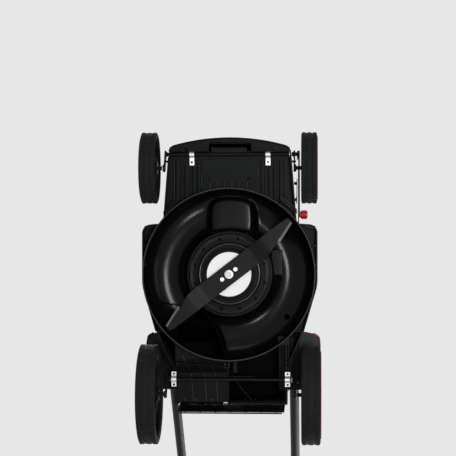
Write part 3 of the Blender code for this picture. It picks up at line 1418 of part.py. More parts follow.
def battery_lid():
    """Lid that lies on the hood's roof, with a hinge barrel at its front edge."""
    side = [(LID_BACK, roof_z(LID_BACK)), (LID_FRONT, roof_z(LID_FRONT))]
    low = [(y, z + GAP) for y, z in side]
    high = [(y, z + GAP + LID_THICK) for y, z in side]
    body = prism(low + high[::-1], -LID_HALF, LID_HALF, "X")
    barrel_z = roof_z(LID_FRONT) + GAP + LID_BARREL_R
    half = LID_HALF - 3 * LID_BARREL_R
    return join(body, rod((-half, LID_FRONT, barrel_z), (half, LID_FRONT, barrel_z), LID_BARREL_R, 12))


def controller():
    """Motor controller with cooling fins, on the chamber's roof behind the motor."""
    low = CROWN_Z + DECK_WALL + GAP
    top = low + CONTROLLER_HEIGHT
    front = CONTROLLER_BACK + CONTROLLER_LENGTH
    body = box((CONTROLLER_LEFT, CONTROLLER_BACK, low), (CONTROLLER_LEFT + CONTROLLER_WIDTH, front, top))
    fins = []
    first = CONTROLLER_LEFT + 2 * FIN_THICK
    pitch = (CONTROLLER_WIDTH - 5 * FIN_THICK) / (FINS - 1)
    for number in range(FINS):
        x = first + pitch * number
        fin_low = (x, CONTROLLER_BACK + 2.0 * MM, top - 1.0 * MM)
        fins.append(box(fin_low, (x + FIN_THICK, front - 2.0 * MM, top + FIN_HEIGHT)))
    return join(body, *fins)


def rear_flap():
    """Discharge flap with hinge knuckles along its top edge."""
    y, z = FLAP_PIVOT
    path = [(y, z), (y - FLAP_LEAN / 4, z - FLAP_HEIGHT / 4), (y - FLAP_LEAN, z - FLAP_HEIGHT)]
    plate = prism(thick_path(path, FLAP_THICK), -FLAP_HALF, FLAP_HALF, "X")
    notch = box(
        (-FLAP_NOTCH_HALF, y - CUT, z - 1.5 * KNUCKLE_R),
        (FLAP_NOTCH_HALF, y + CUT, z + CUT),
    )
    plate = cut(plate, notch)
    knuckles = []
    for low, high in ((-FLAP_HALF, -FLAP_NOTCH_HALF), (FLAP_NOTCH_HALF, FLAP_HALF)):
        knuckles.append(rod((low, y, z), (high, y, z), KNUCKLE_R, 16))
    bore = rod((-SIDE_HALF, y, z), (SIDE_HALF, y, z), FLAP_PIN_R + GAP, 12)
    return cut(join(plate, *knuckles), bore)


def flap_spring():
    """Torsion spring wound on the flap's pin."""
    y, z = FLAP_PIVOT
    radius = FLAP_PIN_R + GAP + SPRING_WIRE_R
    points_per_turn = 8
    x_start = -SPRING_PITCH * SPRING_TURNS / 2
    path = []
    for index in range(SPRING_TURNS * points_per_turn + 1):
        angle = math.radians(250.0) + 2 * math.pi * index / points_per_turn
        x = x_start + SPRING_PITCH * index / points_per_turn
        path.append(Vector((x, y + radius * math.cos(angle), z + radius * math.sin(angle))))
    return sweep(path, SPRING_WIRE_R, 6)


def lower_tube(side):
    x = side * LOWER_X
    path = [along_handle(-TUBE_END, x), along_handle(LOWER_LENGTH + TUBE_END, x)]
    tube = sweep(path, HANDLE_TUBE_R, 10, HANDLE_TUBE_WALL)
    holes = []
    for distance, radius in ((0.0, BOLT_SHANK_R + GAP), (LOWER_LENGTH, STUD_R + GAP)):
        near = along_handle(distance, x - HANDLE_TUBE_R - CUT)
        far = along_handle(distance, x + HANDLE_TUBE_R + CUT)
        holes.append(rod(near, far, radius, 12))
    return cut(tube, *holes)


def upper_handle():
    """U-shaped tube: two legs and a cross bar with round corners."""
    top = LOWER_LENGTH + UPPER_LENGTH
    path = [along_handle(LOWER_LENGTH - TUBE_END, UPPER_X)]
    corner = arc((UPPER_X - UPPER_BEND, top - UPPER_BEND), UPPER_BEND, 0.0, math.pi / 2, 5)
    path += [along_handle(distance, x) for x, distance in corner]
    path += [along_handle(distance, -x) for x, distance in reversed(corner)]
    path.append(along_handle(LOWER_LENGTH - TUBE_END, -UPPER_X))
    tube = sweep(path, HANDLE_TUBE_R, 10, HANDLE_TUBE_WALL)
    hole = rod(along_handle(LOWER_LENGTH, -LOWER_X), along_handle(LOWER_LENGTH, LOWER_X), STUD_R + GAP, 12)
    return cut(tube, hole)


def grip():
    top = LOWER_LENGTH + UPPER_LENGTH
    return ring(along_handle(top, -GRIP_HALF), along_handle(top, GRIP_HALF), GRIP_R, HANDLE_TUBE_R + GAP, 20)


def clamp_knob(side):
    """Lobed knob with its moulded-in stud, through the lower and the upper tube."""
    outline = []
    steps = 30
    for step in range(steps):
        angle = 2 * math.pi * step / steps
        radius = STAR_R + STAR_LOBE * math.cos(STAR_LOBES * angle)
        outline.append((radius * math.cos(angle), radius * math.sin(angle)))
    bm = prism(outline, KNOB_START, KNOB_START + STAR_THICK)
    stud_end = UPPER_X - HANDLE_TUBE_R - STUD_R
    stud = rod((0.0, 0.0, stud_end), (0.0, 0.0, KNOB_START + STAR_THICK / 4), STUD_R, 12)
    bm = join(bm, stud)
    pivot = along_handle(LOWER_LENGTH)
    turn = Matrix.Rotation(side * math.pi / 2, 4, "Y")
    bmesh.ops.transform(bm, verts=bm.verts, matrix=Matrix.Translation(pivot) @ turn)
    return bm


def handle_bolt(side):
    """Bolt through the shoulder's ear and the foot of the lower tube."""
    inner = LOWER_X - HANDLE_TUBE_R - 3.0 * MM
    outer = KNOB_START + EAR_THICK + GAP
    head = outer + BOLT_HEAD_THICK
    profile = [
        (0.0, inner),
        (BOLT_SHANK_R, inner),
        (BOLT_SHANK_R, outer),
        (BOLT_HEAD_R, outer),
        (BOLT_HEAD_R, head - 2.0 * MM),
        (BOLT_HEAD_R - 3.0 * MM, head),
        (0.0, head),
    ]
    bm = turned(profile, 16)
    turn = Matrix.Rotation(side * math.pi / 2, 4, "Y")
    bmesh.ops.transform(bm, verts=bm.verts, matrix=Matrix.Translation((0.0, HANDLE_Y, HANDLE_Z)) @ turn)
    return bm


def clamp_block(side, below, above, front, back):
    """Box clamped round a leg of the upper handle, with a blind hole for the bail."""
    outer = UPPER_X + SWITCH_MARGIN
    outline = [
        (SWITCH_AT - below, -back),
        (SWITCH_AT + above, -back),
        (SWITCH_AT + above, front),
        (SWITCH_AT - below, front),
    ]
    points = [along_handle(distance, 0.0, rise) for distance, rise in outline]
    low, high = sorted((side * SWITCH_INNER, side * outer))
    bm = prism([(point.y, point.z) for point in points], low, high, "X")
    bmesh.ops.bevel(bm, geom=bm.edges[:], offset=3.0 * MM, segments=1, affect="EDGES")
    x = side * UPPER_X
    tube = rod(
        along_handle(SWITCH_AT - below - CUT, x),
        along_handle(SWITCH_AT + above + CUT, x),
        HANDLE_TUBE_R + GAP,
        24,
    )
    bail_hole = rod(
        along_handle(SWITCH_AT, side * (SWITCH_INNER - 10.0 * MM)),
        along_handle(SWITCH_AT, side * (SWITCH_INNER + 9.0 * MM)),
        BAIL_WIRE_R + GAP,
        16,
    )
    return bm, tube, bail_hole


def switch_box():
    block, tube, bail_hole = clamp_block(-1, SWITCH_BELOW, SWITCH_ABOVE, SWITCH_FRONT, SWITCH_BACK)
    button = rod(
        along_handle(SWITCH_AT - BUTTON_BELOW, BUTTON_X, BUTTON_RISE - BUTTON_LENGTH - 5.0 * MM),
        along_handle(SWITCH_AT - BUTTON_BELOW, BUTTON_X, BUTTON_RISE + CUT),
        BUTTON_R + GAP,
        20,
    )
    return cut(block, tube, bail_hole, button)


def bail_mount():
    block, tube, bail_hole = clamp_block(1, MOUNT_HALF, MOUNT_HALF, MOUNT_HALF, MOUNT_HALF)
    return cut(block, tube, bail_hole)


def start_button():
    """Round button that stands out of the switch box and sinks into it."""
    low = along_handle(SWITCH_AT - BUTTON_BELOW, BUTTON_X, BUTTON_RISE - BUTTON_LENGTH)
    high = along_handle(SWITCH_AT - BUTTON_BELOW, BUTTON_X, BUTTON_RISE)
    return rod(low, high, BUTTON_R, 20)


def bail():
    """Round wire lever in front of the grip, hinged in the switch box and the bail mount."""
    leg_x = SWITCH_INNER - BAIL_INSET
    up = BAIL_REACH * math.cos(BAIL_REST)
    rise = BAIL_REACH * math.sin(BAIL_REST)

    def on_leg(share, x):
        return along_handle(SWITCH_AT + up * share, x, rise * share)

    half = [
        on_leg(0.0, SWITCH_INNER + 7.5 * MM),
        on_leg(0.0, leg_x + 5.0 * MM),
        on_leg(0.03, leg_x + 1.5 * MM),
        on_leg(0.08, leg_x),
        on_leg(0.84, leg_x),
        on_leg(0.94, leg_x - 5.0 * MM),
        on_leg(1.0, leg_x - 17.0 * MM),
    ]
    other = [Vector((-point.x, point.y, point.z)) for point in reversed(half)]
    return sweep(half + other, BAIL_WIRE_R, 6)


def add_body(looks):
    mower = Group("mower", (0.0, 0.0, 0.0))
    plastic = looks["black_plastic"]
    steel = looks["zinc_steel"]
    red = looks["red_plastic"]
    mower.add("deck_shell", deck_shell(), plastic)
    mower.add("tunnel_floor", tunnel_floor(), plastic)
    mower.add("front_plate", front_plate(), looks["grey_plastic"])
    mower.add("hood", hood(), plastic)
    mower.add("motor_flange", motor_flange(), looks["black_metal"])
    mower.add("motor_can", motor_can(), looks["black_metal"])
    stator = ring((0.0, 0.0, STATOR_LOW), (0.0, 0.0, STATOR_HIGH), CAN_R - CAN_WALL - GAP, STATOR_R, 32)
    mower.add("stator", stator, looks["copper"])
    upper_z = CAN_TOP - BEARING_WIDTH - 1.0 * MM
    for name, z in (("bearing_lower", FLANGE_Z + 1.0 * MM), ("bearing_upper", upper_z)):
        shell = ring((0.0, 0.0, z), (0.0, 0.0, z + BEARING_WIDTH), BEARING_R, SHAFT_R + GAP, 24)
        mower.add(name, shell, steel)
    mower.add("controller", controller(), looks["aluminium"])
    mower.add("battery_bay", battery_bay(), plastic)
    mower.add("height_quadrant", height_quadrant(), looks["black_metal"])
    for side, word in ((1, "right"), (-1, "left")):
        mower.add("shoulder_trim_" + word, shoulder_trim(side), red)
        mower.add("front_clip_" + word, front_clip(side), steel)
        mower.add("rear_clip_" + word, rear_clip(side), steel)
        mower.add("handle_bolt_" + word, handle_bolt(side), steel)
    pin = rod((-TAIL_HALF, *FLAP_PIVOT), (TAIL_HALF, *FLAP_PIVOT), FLAP_PIN_R, 12)
    mower.add("flap_pin", pin, steel)
    mower.add("flap_spring", flap_spring(), steel)
    return mower


def add_rotor(mower, looks):
    rotor = Group("rotor_axis", (0.0, 0.0, BLADE_BOTTOM), mower)
    rotor.add("blade", blade(), looks["blade_steel"])
    rotor.add("blade_disc", blade_disc(), looks["white_plastic"])
    rotor.add("blade_bolt", blade_bolt(), looks["zinc_steel"])
    rotor.add("motor_shaft", motor_shaft(), looks["zinc_steel"])
    core = ring((0.0, 0.0, STATOR_LOW), (0.0, 0.0, STATOR_HIGH), STATOR_R - AIR_GAP, SHAFT_R + GAP, 24)
    rotor.add("rotor_core", core, looks["black_metal"])
    for side, word in ((1, "front"), (-1, "rear")):
        x, y, z = blade_point(side * PIN_REACH, 0.0, 0.0)
        pin = rod((x, y, BLADE_BOTTOM - 2.0 * MM), (x, y, DISC_TOP), PIN_R, 16)
        rotor.add("drive_pin_" + word, pin, looks["zinc_steel"])


def add_running_gear(mower, looks):
    front = Group("front_axle_axis", (0.0, *FRONT_PIVOT), mower)
    front.add("front_axle", front_axle(), looks["black_metal"])
    front.add("height_lever", height_lever(), looks["black_metal"])
    front.add("lever_knob", lever_knob(), looks["red_plastic"])
    rear = Group("rear_axle_axis", (0.0, *REAR_PIVOT), mower)
    rear.add("rear_axle", rear_axle(), looks["black_metal"])
    link = Group("link_axis", (-LEVER_X, *FRONT_LINK), front)
    link.add("link_rod", link_rod(), looks["zinc_steel"])
    sets = (
        ("front", front, FRONT_WHEEL_Y, FRONT_WHEEL_R, FRONT_WHEEL_WIDTH),
        ("rear", rear, REAR_WHEEL_Y, REAR_WHEEL_R, REAR_WHEEL_WIDTH),
    )
    for end, carrier, y, radius, width in sets:
        for side, word in ((1, "right"), (-1, "left")):
            name = end + "_" + word
            hub = Group(name + "_hub", (side * WHEEL_INNER_X, y, radius), carrier)
            for part, maker, look in (
                ("tyre", tyre, "rubber"),
                ("rim", rim, "black_plastic"),
                ("trim", trim_ring, "red_plastic"),
            ):
                bm = placed_wheel_part(maker(radius, width), side, y, radius)
                hub.add(name + "_" + part, bm, looks[look])


def add_battery(mower, looks):
    lid_axis = (0.0, LID_FRONT, roof_z(LID_FRONT) + GAP + LID_BARREL_R)
    lid = Group("lid_axis", lid_axis, mower)
    lid.add("battery_lid", battery_lid(), looks["black_plastic"])
    pack = Group("battery_axis", (0.0, PACK_BACK, CAN_TOP), mower)
    pack.add("battery_pack", battery_pack(), looks["grey_plastic"])
    key = Group("key_axis", (0.0, KEY_Y, KEY_LOW), mower)
    key.add("safety_key", safety_key(), looks["red_plastic"])


def add_flap(mower, looks):
    flap = Group("flap_axis", (0.0, *FLAP_PIVOT), mower)
    flap.add("rear_flap", rear_flap(), looks["black_plastic"])


def add_handle(mower, looks):
    lower = Group("handle_axis", along_handle(0.0), mower)
    for side, word in ((1, "right"), (-1, "left")):
        lower.add("lower_tube_" + word, lower_tube(side), looks["black_metal"])
    upper = Group("upper_handle_axis", along_handle(LOWER_LENGTH), lower)
    upper.add("upper_handle", upper_handle(), looks["black_metal"])
    upper.add("grip", grip(), looks["rubber"])
    upper.add("switch_box", switch_box(), looks["black_plastic"])
    upper.add("bail_mount", bail_mount(), looks["black_plastic"])
    for side, word in ((1, "right"), (-1, "left")):
        knob = Group("clamp_knob_axis_" + word, along_handle(LOWER_LENGTH, side * LOWER_X), upper)
        knob.add("clamp_knob_" + word, clamp_knob(side), looks["red_plastic"])
    bail_axis = Group("bail_axis", along_handle(SWITCH_AT), upper)
    bail_axis.add("bail", bail(), looks["red_plastic"])
    button_at = along_handle(SWITCH_AT - BUTTON_BELOW, BUTTON_X, BUTTON_RISE)
    button = Group("start_button_axis", button_at, upper)
    button.add("start_button", start_button(), looks["grey_plastic"])


def centre_over_origin(mower):
    """Move the mower so that the middle of its box stands over the world's origin."""
    bpy.context.view_layer.update()
    corners = []
    for item in bpy.data.objects:
        if item.type == "MESH":
            corners += [item.matrix_world @ vertex.co for vertex in item.data.vertices]
    for axis in (0, 1):
        values = [corner[axis] for corner in corners]
        mower.empty.location[axis] -= (min(values) + max(values)) / 2


def main():
    clear_scene()
    looks = {
        "black_plastic": material("black_plastic", (0.012, 0.013, 0.014), 0.42),
        "grey_plastic": material("grey_plastic", (0.020, 0.024, 0.023), 0.50),
        "black_metal": material("black_metal", (0.014, 0.014, 0.015), 0.45, 0.3),
        "blade_steel": material("blade_steel", (0.022, 0.023, 0.024), 0.40, 0.4),
        "zinc_steel": material("zinc_steel", (0.62, 0.63, 0.64), 0.30, 1.0),
        "aluminium": material("aluminium", (0.45, 0.46, 0.47), 0.40, 1.0),
        "copper": material("copper", (0.55, 0.25, 0.12), 0.35, 1.0),
        "white_plastic": material("white_plastic", (0.80, 0.80, 0.81), 0.40),
        "red_plastic": material("red_plastic", (0.55, 0.010, 0.020), 0.38),
        "rubber": material("rubber", (0.018, 0.018, 0.020), 0.75),
    }
    mower = add_body(looks)
    add_rotor(mower, looks)
    add_running_gear(mower, looks)
    add_battery(mower, looks)
    add_flap(mower, looks)
    add_handle(mower, looks)
    centre_over_origin(mower)


main()
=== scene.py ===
"""Finished look of a cordless lawn mower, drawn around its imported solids.

Pieces are drawn in millimetres in deck coordinates: the blade's axis is Z, the ground is z = 0 and
+Y points to the front. A finished piece is scaled to metres and moved to its place in the frame.
"""

import json
import math

import bmesh
import bpy
from bpy.props import FloatProperty, FloatVectorProperty, IntProperty, PointerProperty
from mathutils import Matrix, Vector


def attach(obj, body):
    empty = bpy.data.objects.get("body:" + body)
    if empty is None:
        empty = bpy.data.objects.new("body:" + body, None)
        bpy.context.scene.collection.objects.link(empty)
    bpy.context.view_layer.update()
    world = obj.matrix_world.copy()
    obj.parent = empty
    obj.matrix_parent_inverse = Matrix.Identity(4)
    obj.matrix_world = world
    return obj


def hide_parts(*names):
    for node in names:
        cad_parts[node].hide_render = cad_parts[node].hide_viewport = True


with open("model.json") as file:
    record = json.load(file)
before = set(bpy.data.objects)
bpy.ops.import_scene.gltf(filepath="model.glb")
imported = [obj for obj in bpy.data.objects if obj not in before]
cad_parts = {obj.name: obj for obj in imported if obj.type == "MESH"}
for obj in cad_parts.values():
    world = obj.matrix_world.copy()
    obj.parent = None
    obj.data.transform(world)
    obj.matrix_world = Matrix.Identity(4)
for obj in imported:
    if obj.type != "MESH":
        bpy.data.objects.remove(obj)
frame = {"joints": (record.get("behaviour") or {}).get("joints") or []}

bl_info = {
    "name": "Lawn mower finish",
    "version": (1, 0, 0),
    "blender": (4, 5, 0),
    "location": "View3D > Sidebar > Mower",
    "description": "Builds the finished pieces and materials of a cordless lawn mower",
    "category": "Object",
}

TO_METRES = 0.001
PER_METRE = 1000.0
JOINTS = {joint["name"]: joint for joint in frame["joints"]}
DECK_Y = JOINTS["blade_spin"]["pos_m"][1]
SIDES = ((1, "right"), (-1, "left"))


class MowerSizes(bpy.types.PropertyGroup):
    """Sizes, in millimetres, that a user may change."""

    round_steps: IntProperty(
        name="Round steps", description="Facets of the large turned pieces", default=160, min=24, max=400
    )
    edge_soft: FloatProperty(
        name="Edge softness", description="Radius of the moulded edges", default=0.8, min=0.1, max=3.0
    )
    tread_blocks: IntProperty(
        name="Tread blocks", description="Blocks around each tyre's shoulder", default=40, min=12, max=90
    )
    floor_size: FloatProperty(
        name="Floor size", description="Width of the floor", default=14.0, min=2.0, max=60.0, unit="LENGTH"
    )


def colour_property(name, description, default):
    return FloatVectorProperty(
        name=name, description=description, default=default, size=3, min=0.0, max=1.0, subtype="COLOR"
    )


class MowerColours(bpy.types.PropertyGroup):
    """Base colours of the finishes."""

    chamber: colour_property("Chamber", "Glossy plastic of the cutting chamber", (0.0018, 0.0020, 0.0022))
    moulded: colour_property("Moulded", "Grained black plastic", (0.0046, 0.0049, 0.0051))
    cover: colour_property("Cover", "Dark plastic of the cover plates", (0.0058, 0.0070, 0.0065))
    coated: colour_property("Coated", "Black powder coat", (0.0036, 0.0037, 0.0040))
    blade: colour_property("Blade", "Painted blade steel", (0.0050, 0.0054, 0.0058))
    red: colour_property("Red", "Red plastic", (0.5200, 0.0110, 0.0240))
    white: colour_property("White", "White plastic", (0.7900, 0.7950, 0.8050))
    zinc: colour_property("Zinc", "Zinc plate", (0.7200, 0.7300, 0.7400))
    rubber: colour_property("Rubber", "Tyre rubber", (0.0080, 0.0081, 0.0085))
    floor: colour_property("Floor", "Studio floor", (0.8000, 0.8000, 0.8000))


class Wire:
    """A shader socket in one node tree; arithmetic on it adds Math nodes."""

    def __init__(self, tree, socket=None):
        self.tree = tree
        self.socket = socket

    def node(self, kind, settings=None, inputs=None, output=0):
        """Add a node, set it up, fill or link its sockets and give one of its outputs."""
        made = self.tree.nodes.new(kind)
        for name, value in (settings or {}).items():
            setattr(made, name, value)
        for key, value in (inputs or {}).items():
            self.feed(value, made.inputs[key])
        return Wire(self.tree, made.outputs[output])

    def also(self, output):
        """Another output of this socket's node."""
        return Wire(self.tree, self.socket.node.outputs[output])

    def feed(self, value, socket):
        if isinstance(value, Wire):
            self.tree.links.new(value.socket, socket)
        else:
            socket.default_value = value

    def math(self, operation, first, second=0.0):
        return self.node("ShaderNodeMath", {"operation": operation}, {0: first, 1: second})

    def __add__(self, other):
        return self.math("ADD", self, other)

    def __radd__(self, other):
        return self.math("ADD", other, self)

    def __sub__(self, other):
        return self.math("SUBTRACT", self, other)

    def __rsub__(self, other):
        return self.math("SUBTRACT", other, self)

    def __mul__(self, other):
        return self.math("MULTIPLY", self, other)

    def __rmul__(self, other):
        return self.math("MULTIPLY", other, self)

    def __pow__(self, other):
        return self.math("POWER", self, other)

    def above(self, low, high):
        """0 below low, 1 above high and smooth in between."""
        return self.node(
            "ShaderNodeMapRange",
            {"interpolation_type": "SMOOTHSTEP"},
            {"Value": self, "From Min": low, "From Max": high},
        )


class Finish:
    """One material: a Principled shader and the patterns that feed it."""

    def __init__(self, name, colour, roughness, metallic=0.0, gloss=0.5):
        self.made = bpy.data.materials.new(name)
        self.made.use_nodes = True
        tree = self.made.node_tree
        self.shader = tree.nodes["Principled BSDF"]
        self.wire = Wire(tree)
        self.place = self.wire.node("ShaderNodeTexCoord", output="Object")
        self.colour = colour
        self.shader.inputs["Base Color"].default_value = (*colour, 1.0)
        self.shader.inputs["Roughness"].default_value = roughness
        self.shader.inputs["Metallic"].default_value = metallic
        self.shader.inputs["Specular IOR Level"].default_value = gloss
        self.height = None

    def noise(self, size, detail=2.0, stretch=None, rough=0.5):
        """Noise whose lumps are about the given size in millimetres."""
        place = self.place
        if stretch:
            place = self.wire.node("ShaderNodeMapping", None, {"Vector": place, "Scale": stretch})
        return self.wire.node(
            "ShaderNodeTexNoise",
            None,
            {"Vector": place, "Scale": PER_METRE / size, "Detail": detail, "Roughness": rough},
        )

    def cells(self, size):
        """Distance to the middle of the nearest cell of the given size in millimetres."""
        inputs = {"Vector": self.place, "Scale": PER_METRE / size}
        return self.wire.node("ShaderNodeTexVoronoi", {"feature": "F1"}, inputs, "Distance")

    def axis(self, name):
        """The place along X, Y or Z, in millimetres."""
        return self.wire.node("ShaderNodeSeparateXYZ", None, {0: self.place}, name) * PER_METRE

    def blend(self, mask, colour):
        """Mix another colour over the present one by a mask."""
        under = self.colour if isinstance(self.colour, Wire) else (*self.colour, 1.0)
        self.colour = self.wire.node(
            "ShaderNodeMix", {"data_type": "RGBA"}, {0: mask, 6: under, 7: (*colour, 1.0)}, 2
        )
        self.wire.feed(self.colour, self.shader.inputs["Base Color"])

    def set(self, socket, value):
        self.wire.feed(value, self.shader.inputs[socket])

    def raise_by(self, height, millimetres):
        """Add a relief of the given depth to the bump."""
        step = height * (millimetres * TO_METRES)
        self.height = step if self.height is None else self.height + step

    def done(self, strength=1.0):
        if self.height is not None:
            bump = self.wire.node(
                "ShaderNodeBump", None, {"Strength": strength, "Distance": 1.0, "Height": self.height}
            )
            self.wire.feed(bump, self.shader.inputs["Normal"])
        return self.made


def shade(colour, factor):
    return tuple(channel * factor for channel in colour)


def moulded_plastic(name, colour, roughness, gloss, grain, grain_size=0.45, dark=None):
    """Spark-eroded plastic: fine grain, soft cloudy gloss and faint rubbed streaks."""
    made = Finish(name, colour, roughness, 0.0, gloss)
    cloud = made.noise(60.0, 3.0)
    rub = made.noise(9.0, 4.0, (1.0, 0.12, 1.0), 0.6).above(0.58, 0.78)
    dust = made.noise(2.4, 3.0).above(0.66, 0.80)
    made.blend(cloud * 0.35, shade(colour, 1.35))
    made.blend(dust * 0.22, tuple(min(1.0, channel * 1.9 + 0.005) for channel in colour))
    # The dark mask, when one is given, paints shade over the colour.
    if dark:
        made.blend(dark(made), shade(colour, 0.25))
    made.set("Roughness", roughness - 0.06 + cloud * 0.10 + rub * 0.08 + dust * 0.05)
    made.raise_by(made.noise(grain_size, 2.0), grain)
    made.raise_by(made.noise(14.0, 1.0), 0.05)
    return made.done(0.7)


def deck_place(made):
    """Places across, along and out from the blade's axis, in millimetres."""
    across = made.axis("X")
    along = made.axis("Y") - DECK_Y * PER_METRE
    return across, along, (across * across + along * along) ** 0.5


def tunnel_painted_shade(made):
    """Painted shade on the tunnel floor: full within 205 mm of the blade's axis, fading out by 216 mm."""
    return 1.0 - deck_place(made)[2].above(205.0, 216.0)


def tunnel_plastic(name, colour):
    """Dull plastic of the tunnel floor, painted darker than the cover plates as shade, with more painted
    shade near the blade's axis.
    """
    return moulded_plastic(name, shade(colour, 0.7), 0.50, 0.05, 0.030, 0.45, tunnel_painted_shade)


def chamber_gloss(name, colour):
    """Smooth inner skin of the chamber, with faint flow rings, a few scuffs and a painted highlight along its
    lowest edge.
    """
    made = Finish(name, colour, 0.21, 0.0, 0.12)
    across, along, radius = deck_place(made)
    ring_wave = made.wire.math("SINE", radius * 0.35 + made.noise(70.0) * 3.0)
    cloud = made.noise(45.0, 3.0)
    specks = made.noise(1.6, 2.0).above(0.70, 0.80)
    face = across.above(-56.0, -49.0) * (1.0 - across.above(38.0, 45.0))
    face = face * radius.above(112.0, 118.0) * (1.0 - radius.above(186.0, 192.0)) * along.above(60.0, 100.0)
    # rim: the chamber's lowest edge, painted paler as a highlight.
    rim = 1.0 - made.axis("Z").above(52.3, 53.4)
    scuff = made.noise(5.0, 5.0, (0.35, 1.0, 1.0), 0.65).above(0.62, 0.80)
    made.blend(cloud * 0.4, shade(colour, 1.4))
    made.blend(specks * 0.25, (0.02, 0.02, 0.021))
    made.blend(face, (0.0012, 0.0017, 0.0014))
    made.blend(rim * 0.6, (0.055, 0.057, 0.058))
    made.set("Roughness", 0.17 + face * 0.04 + cloud * 0.07 + ring_wave * 0.008 + scuff * 0.10)
    made.raise_by(ring_wave, 0.010)
    made.raise_by(made.noise(1.1, 2.0), 0.012)
    made.raise_by(made.noise(30.0, 1.0), 0.10)
    return made.done(0.6)


def powder_coat(name, colour, roughness=0.38):
    """Powder-coated metal with orange peel."""
    made = Finish(name, colour, roughness, 0.0, 0.10)
    peel = made.noise(1.5, 2.0)
    cloud = made.noise(35.0, 2.0)
    chip = made.noise(3.0, 5.0).above(0.74, 0.78)
    made.blend(chip * 0.5, (0.06, 0.06, 0.062))
    made.set("Roughness", roughness - 0.05 + cloud * 0.10 + peel * 0.05)
    made.raise_by(peel, 0.05)
    return made.done(0.6)


def zinc_plate(name, colour):
    """Bright zinc with soft patches and fine drawn lines."""
    made = Finish(name, colour, 0.34, 0.55)
    patch = made.noise(3.0, 3.0)
    lines = made.noise(0.35, 2.0, (1.0, 0.10, 1.0))
    made.blend(patch.above(0.45, 0.75) * 0.5, shade(colour, 0.7))
    made.set("Roughness", 0.30 + patch * 0.14 + lines * 0.06)
    made.raise_by(lines, 0.010)
    made.raise_by(patch, 0.02)
    return made.done(0.5)


def painted_blade(name, colour):
    """Satin paint on stamped steel."""
    made = Finish(name, colour, 0.42, 0.0, 0.09)
    cloud = made.noise(22.0, 3.0)
    peel = made.noise(1.2, 2.0)
    rub = made.noise(7.0, 5.0, (0.25, 1.0, 1.0), 0.6).above(0.62, 0.80)
    made.blend(cloud * 0.4, shade(colour, 1.25))
    made.blend(rub * 0.25, (0.022, 0.023, 0.024))
    made.set("Roughness", 0.36 + cloud * 0.10 + rub * 0.08)
    made.raise_by(peel, 0.03)
    return made.done(0.6)


def ground_steel_and_highlight(name, colour):
    """Ground edge under a thin coat of glossy paint, with grinding lines; on the blade's sail strip its light
    colour is a painted highlight.
    """
    made = Finish(name, colour, 0.28, 0.55, 0.60)
    lines = made.noise(0.5, 3.0, (1.0, 0.08, 1.0))
    made.blend(lines * 0.6, (0.130, 0.132, 0.135))
    made.set("Roughness", 0.26 + lines * 0.12)
    made.raise_by(lines, 0.02)
    return made.done(0.5)


def white_disc(name, colour):
    """White plastic with a soft satin."""
    made = Finish(name, colour, 0.42)
    cloud = made.noise(16.0, 3.0)
    specks = made.noise(1.0, 3.0).above(0.72, 0.82)
    made.blend(cloud * 0.25, (0.74, 0.745, 0.76))
    made.blend(specks * 0.3, (0.55, 0.55, 0.56))
    made.set("Roughness", 0.38 + cloud * 0.10)
    made.raise_by(made.noise(0.8, 2.0), 0.01)
    return made.done(0.5)


def red_plastic(name, colour):
    made = Finish(name, colour, 0.34)
    cloud = made.noise(20.0, 3.0)
    rub = made.noise(4.0, 4.0, (1.0, 0.2, 1.0)).above(0.60, 0.80)
    made.blend(cloud * 0.3, shade(colour, 0.8))
    made.blend(rub * 0.15, (0.55, 0.06, 0.07))
    made.set("Roughness", 0.29 + cloud * 0.10 + rub * 0.08)
    made.raise_by(made.noise(0.5, 2.0), 0.015)
    made.raise_by(made.noise(12.0, 1.0), 0.04)
    return made.done(0.6)


def tyre_rubber(name, colour):
    """Rubber with a dull bloom, grit and mould marks."""
    made = Finish(name, colour, 0.66, 0.0, 0.10)
    bloom = made.noise(18.0, 4.0)
    grit = made.cells(1.3).above(0.0, 0.35)
    dust = made.noise(4.0, 5.0, (1.0, 0.6, 1.0), 0.62).above(0.56, 0.72)
    made.blend(bloom * 0.5, shade(colour, 1.5))
    made.blend(dust * 0.35, (0.040, 0.035, 0.033))
    made.set("Roughness", 0.70 + bloom * 0.12 + dust * 0.10)
    made.raise_by(grit, 0.03)
    made.raise_by(made.noise(0.6, 2.0), 0.03)
    return made.done(0.5)


def foam_grip(name, colour):
    """Closed-cell foam."""
    made = Finish(name, colour, 0.85)
    cell = made.cells(0.9)
    cloud = made.noise(15.0, 2.0)
    made.blend(cloud * 0.4, (0.020, 0.020, 0.021))
    made.blend(cell.above(0.35, 0.7) * 0.4, (0.03, 0.03, 0.031))
    made.set("Roughness", 0.78 + cloud * 0.12)
    made.raise_by(cell, 0.16)
    return made.done(0.9)


def cast_aluminium(name, colour):
    made = Finish(name, colour, 0.45, 1.0)
    skin = made.noise(1.4, 3.0)
    cloud = made.noise(20.0, 2.0)
    made.blend(cloud * 0.4, (0.30, 0.31, 0.32))
    made.set("Roughness", 0.38 + cloud * 0.12 + skin * 0.06)
    made.raise_by(skin, 0.06)
    return made.done(0.7)


def copper_winding(name, colour):
    """Lacquered winding wire, wound up and down."""
    made = Finish(name, colour, 0.32, 1.0)
    turns = made.wire.math("SINE", made.axis("X") * 6.5)
    cloud = made.noise(8.0, 2.0)
    # The grooves between the turns are painted darker: painted shade.
    made.blend(turns.above(-1.0, 0.2) * -0.6 + 0.6, (0.16, 0.05, 0.02))
    made.set("Roughness", 0.26 + cloud * 0.12)
    made.raise_by(turns, 0.10)
    return made.done(0.8)


